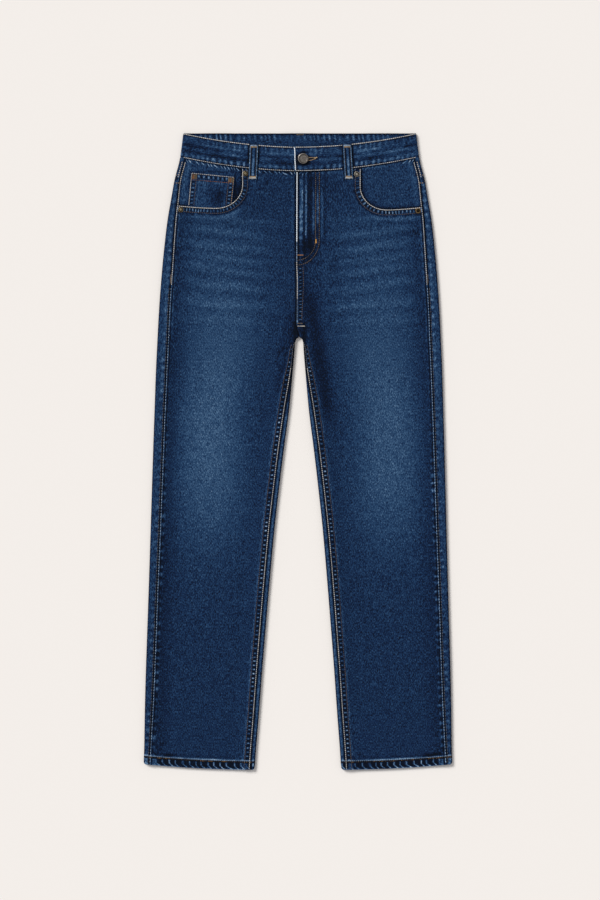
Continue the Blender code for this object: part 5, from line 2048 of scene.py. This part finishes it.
    def waist(self) -> None:
        """The band's rows, the loops' rows and tacks, the buttonhole and the centre back."""
        top, foot, under = [], [], []
        stretches = (  # side, start and end of the band's rows between the loops, mm out
            (LEFT, BAND_OVER_END / MM + 1, 69), (LEFT, 84, 188), (RIGHT, 8.5, 66.5), (RIGHT, 81.5, 188),
        )
        for side, start, end in stretches:
            out = ramp_steps(start * MM, end * MM)
            top.append(plan(side, out, waist_dip(out) + 0.8 * MM))
            foot.append(plan(side, out, waist_dip(out) + BAND - 0.9 * MM))
        self.sew("band_top_row", top, ("waistband",), "light", HEAVY)
        self.sew("band_foot_row", foot, ("waistband",), "light")
        drops = ramp_steps(waist_dip(0.0) + 1.5 * MM, band_foot(0.0) - 1.2 * MM)
        down = np.clip((drops - drops[0]) / BAND, 0, 1)
        end = BAND_OVER_END + 0.9 * MM - END_LEAN * (1 - down) ** 1.5 + 0.2 * MM * np.sin(drops / (4 * MM))
        self.sew("band_end_row", [plan(LEFT, end, drops)], ("waistband",), "white", BOLD)
        for side in WORDS:
            under += [spot(side, (start, gap), (stop, gap)) for start, stop in ((8, 126), (142, 184))
                      for gap in (1.6, BAND / MM - 1.5)]
        self.sew("band_back_rows", under, ("waistband",), "light", face=Face.UNDERSIDE)
        for loop in FRONT_LOOPS:
            middle, drop = loop_place(loop, np.linspace(0.06, 0.94, 20))
            rows = [plan(loop.side, middle + shift, drop) for shift in LOOP_ROWS]
            self.sew(f"{loop.name}_rows", rows, (loop.name,), "dull", THIN)
            for where, thread in ((0.02, "faded"), (0.06, "tan"), (0.93, "tan"), (0.965, "light")):
                middle, drop = loop_place(loop, where)
                across = middle + 5.4 * MM * np.array((-1.0, 1.0))
                self.tack(f"{loop.name}_tack_{thread}", [plan(loop.side, across, drop)], (loop.name,), thread)
        for loop in BACK_LOOPS:
            ends = (3 * MM, BAND + LOOP_BELOW - 4 * MM)
            rows = [plan(loop.side, loop.top + shift, ends) for shift in LOOP_ROWS]
            self.sew(f"{loop.name}_rows", rows, (loop.name,), "tan", face=Face.UNDERSIDE)
        # The centre loop's tack shows inside the back band
        self.tack("centre_back_tack", [spot(LEFT, (-5.4, 2.4), (6.4, 2.4))], ("waistband",), "tack", LIP)
        # The buttonhole's two lips run together away from the button
        self.tack("buttonhole", [spot(LEFT, (2, 42.6 + gap), (19, 41.9 + 0.8 * gap), (26, 40.6 + 0.3 * gap))
                                 for gap in (-2.6, 2.6)], ("waistband",), "tan", LIP)
        self.tack("buttonhole_end", [spot(LEFT, (24, 41.0), (28.6, 39.2))], ("waistband",), "bright", LIP)
        rows = [spot(LEFT, (shift, 128), (shift, 285)) for shift in (2, 8)]
        self.sew("centre_back_rows", rows, ("back_left",), "brown", face=Face.UNDERSIDE)

    def make(self) -> list:
        """Sew everything.

        Returns:
            The seams' objects.
        """
        for step in (self.legs, self.pockets, self.fly, self.waist):
            step()
        return self.made


@dataclass
class Studio:
    """A pale floor, soft light from the upper left and a camera straight above."""

    lens: float = 100.0
    seen_height: float = 1458 * MM  # how much of the floor the view's long side takes in
    look_at: tuple = (3.4 * MM, 2.4 * MM)
    floor_size: float = 14.0
    sun: float = 3.1
    sun_spread: float = 24.0  # degrees: the broader, the softer its shadows
    sun_way: tuple = (0.62, -0.55, -0.62)  # the way its light falls
    surround: float = 0.52

    def floor(self) -> None:
        """The floor: matt pale paper, which takes soft shadows and shows no gloss."""
        bpy.ops.mesh.primitive_plane_add(size=self.floor_size, location=(0, 0, SUNK))
        floor = bpy.context.object
        floor.name = "floor"
        material = bpy.data.materials.new("matt_pale_paper")
        material.use_nodes = True
        plug(material.node_tree.nodes["Principled BSDF"],
             {"Base Color": hex_linear("#ede9e5"), "Roughness": 0.95, "Specular IOR Level": 0.0})
        floor.data.materials.append(material)

    def light(self) -> None:
        """A broad light from the upper left and an even surround."""
        lamp = bpy.data.lights.new("window", "SUN")
        lamp.energy = self.sun
        lamp.angle = math.radians(self.sun_spread)
        lamp.color = (1.0, 0.985, 0.96)
        window = bpy.data.objects.new("window", lamp)
        window.rotation_euler = Vector(self.sun_way).to_track_quat("-Z", "Y").to_euler()
        bpy.context.collection.objects.link(window)
        world = bpy.context.scene.world or bpy.data.worlds.new("surround")
        bpy.context.scene.world = world
        world.use_nodes = True
        plug(world.node_tree.nodes["Background"], {"Color": hex_linear("#f5f4f6"), "Strength": self.surround})

    def camera(self) -> None:
        """The camera."""
        data = bpy.data.cameras.new("camera")
        data.lens = self.lens
        data.sensor_fit = "AUTO"
        camera = bpy.data.objects.new("camera", data)
        height = self.seen_height * self.lens / data.sensor_width
        camera.location = (*self.look_at, height)
        data.clip_end = 50
        bpy.context.collection.objects.link(camera)
        bpy.context.scene.camera = camera
        bpy.context.scene.view_settings.view_transform = "Standard"


THREADS = {
    "light": Thread("ecru_topstitch_thread", "#cfccc6", "#8d8b87"),
    "white": Thread("pale_topstitch_thread", "#eef4f9", "#c0ccd8"),
    "faded": Thread("rubbed_blue_white_edge", "#9db2c8", "#4d5f76"),
    "dull": Thread("worn_grey_thread", "#64656a", "#2b313c"),
    "tan": Thread("tan_topstitch_thread", "#a8906f", "#6b5a47"),
    "tack": Thread("worn_tan_tack_thread", "#75654f", "#3b342c"),
    "bright": Thread("pale_tan_topstitch_thread", "#d3bc94", "#a58a62"),
    "brown": Thread("brown_topstitch_thread", "#695d54", "#2e2a2a"),
    # The hem's thread: its tan is the thread's own colour, its near-black painted shade between the stitches
    "hem": Thread("dark_brown_hem_thread", "#a87d42", "#0e0b0b", worn_from=1.01),
    "copper": Thread("copper_topstitch_thread", "#8f5c36", "#4c3422"),
    "orange": Thread("orange_topstitch_thread", "#c28a55", "#8a5a34"),
    "gold": Thread("gold_topstitch_thread", "#d99f4a", "#a06a24"),
}


def main() -> None:
    """Dress the jeans and set the scene."""
    logging.basicConfig(level=logging.INFO, format="%(message)s")
    denim = Denim("washed_indigo_denim").material()
    band_denim = Denim("washed_indigo_denim_crosswise", warp_angle=math.pi / 2).material()
    nickel = AntiqueMetal("antique_nickel_plate", "#95908a", "#524d48").material()
    dark_nickel = AntiqueMetal("tarnished_nickel_groove", "#5c5752", "#2a2724").material()
    brass = AntiqueMetal("antique_brass_plate", "#a99d80", "#5a4e3b").material()
    dark_brass = AntiqueMetal("tarnished_brass_groove", "#3a3226", "#171310").material()
    grey_brass = AntiqueMetal("rubbed_grey_brass_plate", "#bdb8ae", "#746e64").material()
    brown_brass = AntiqueMetal("rubbed_brown_brass_plate", "#9c8258", "#5e4b33").material()

    made = Legs().make(denim)
    made += Pockets().make(denim)
    made += Fly().make(denim, ZipTape().material(), brass)
    made += Waistband().make(band_denim, denim)
    made += Fittings().make((nickel, dark_nickel), (brass, dark_brass), (grey_brass, dark_brass),
                            (brown_brass, dark_brass))
    cloth = {piece.name: piece for piece in made}
    threads = {name: thread.material() for name, thread in THREADS.items()}
    made += Seams(Sewing(), cloth, threads).make()
    for piece in made:
        log.info("%s: %d faces", piece.name, len(piece.data.polygons))
    studio = Studio()
    studio.floor()
    studio.light()
    studio.camera()


if __name__ == "__main__":
    main()
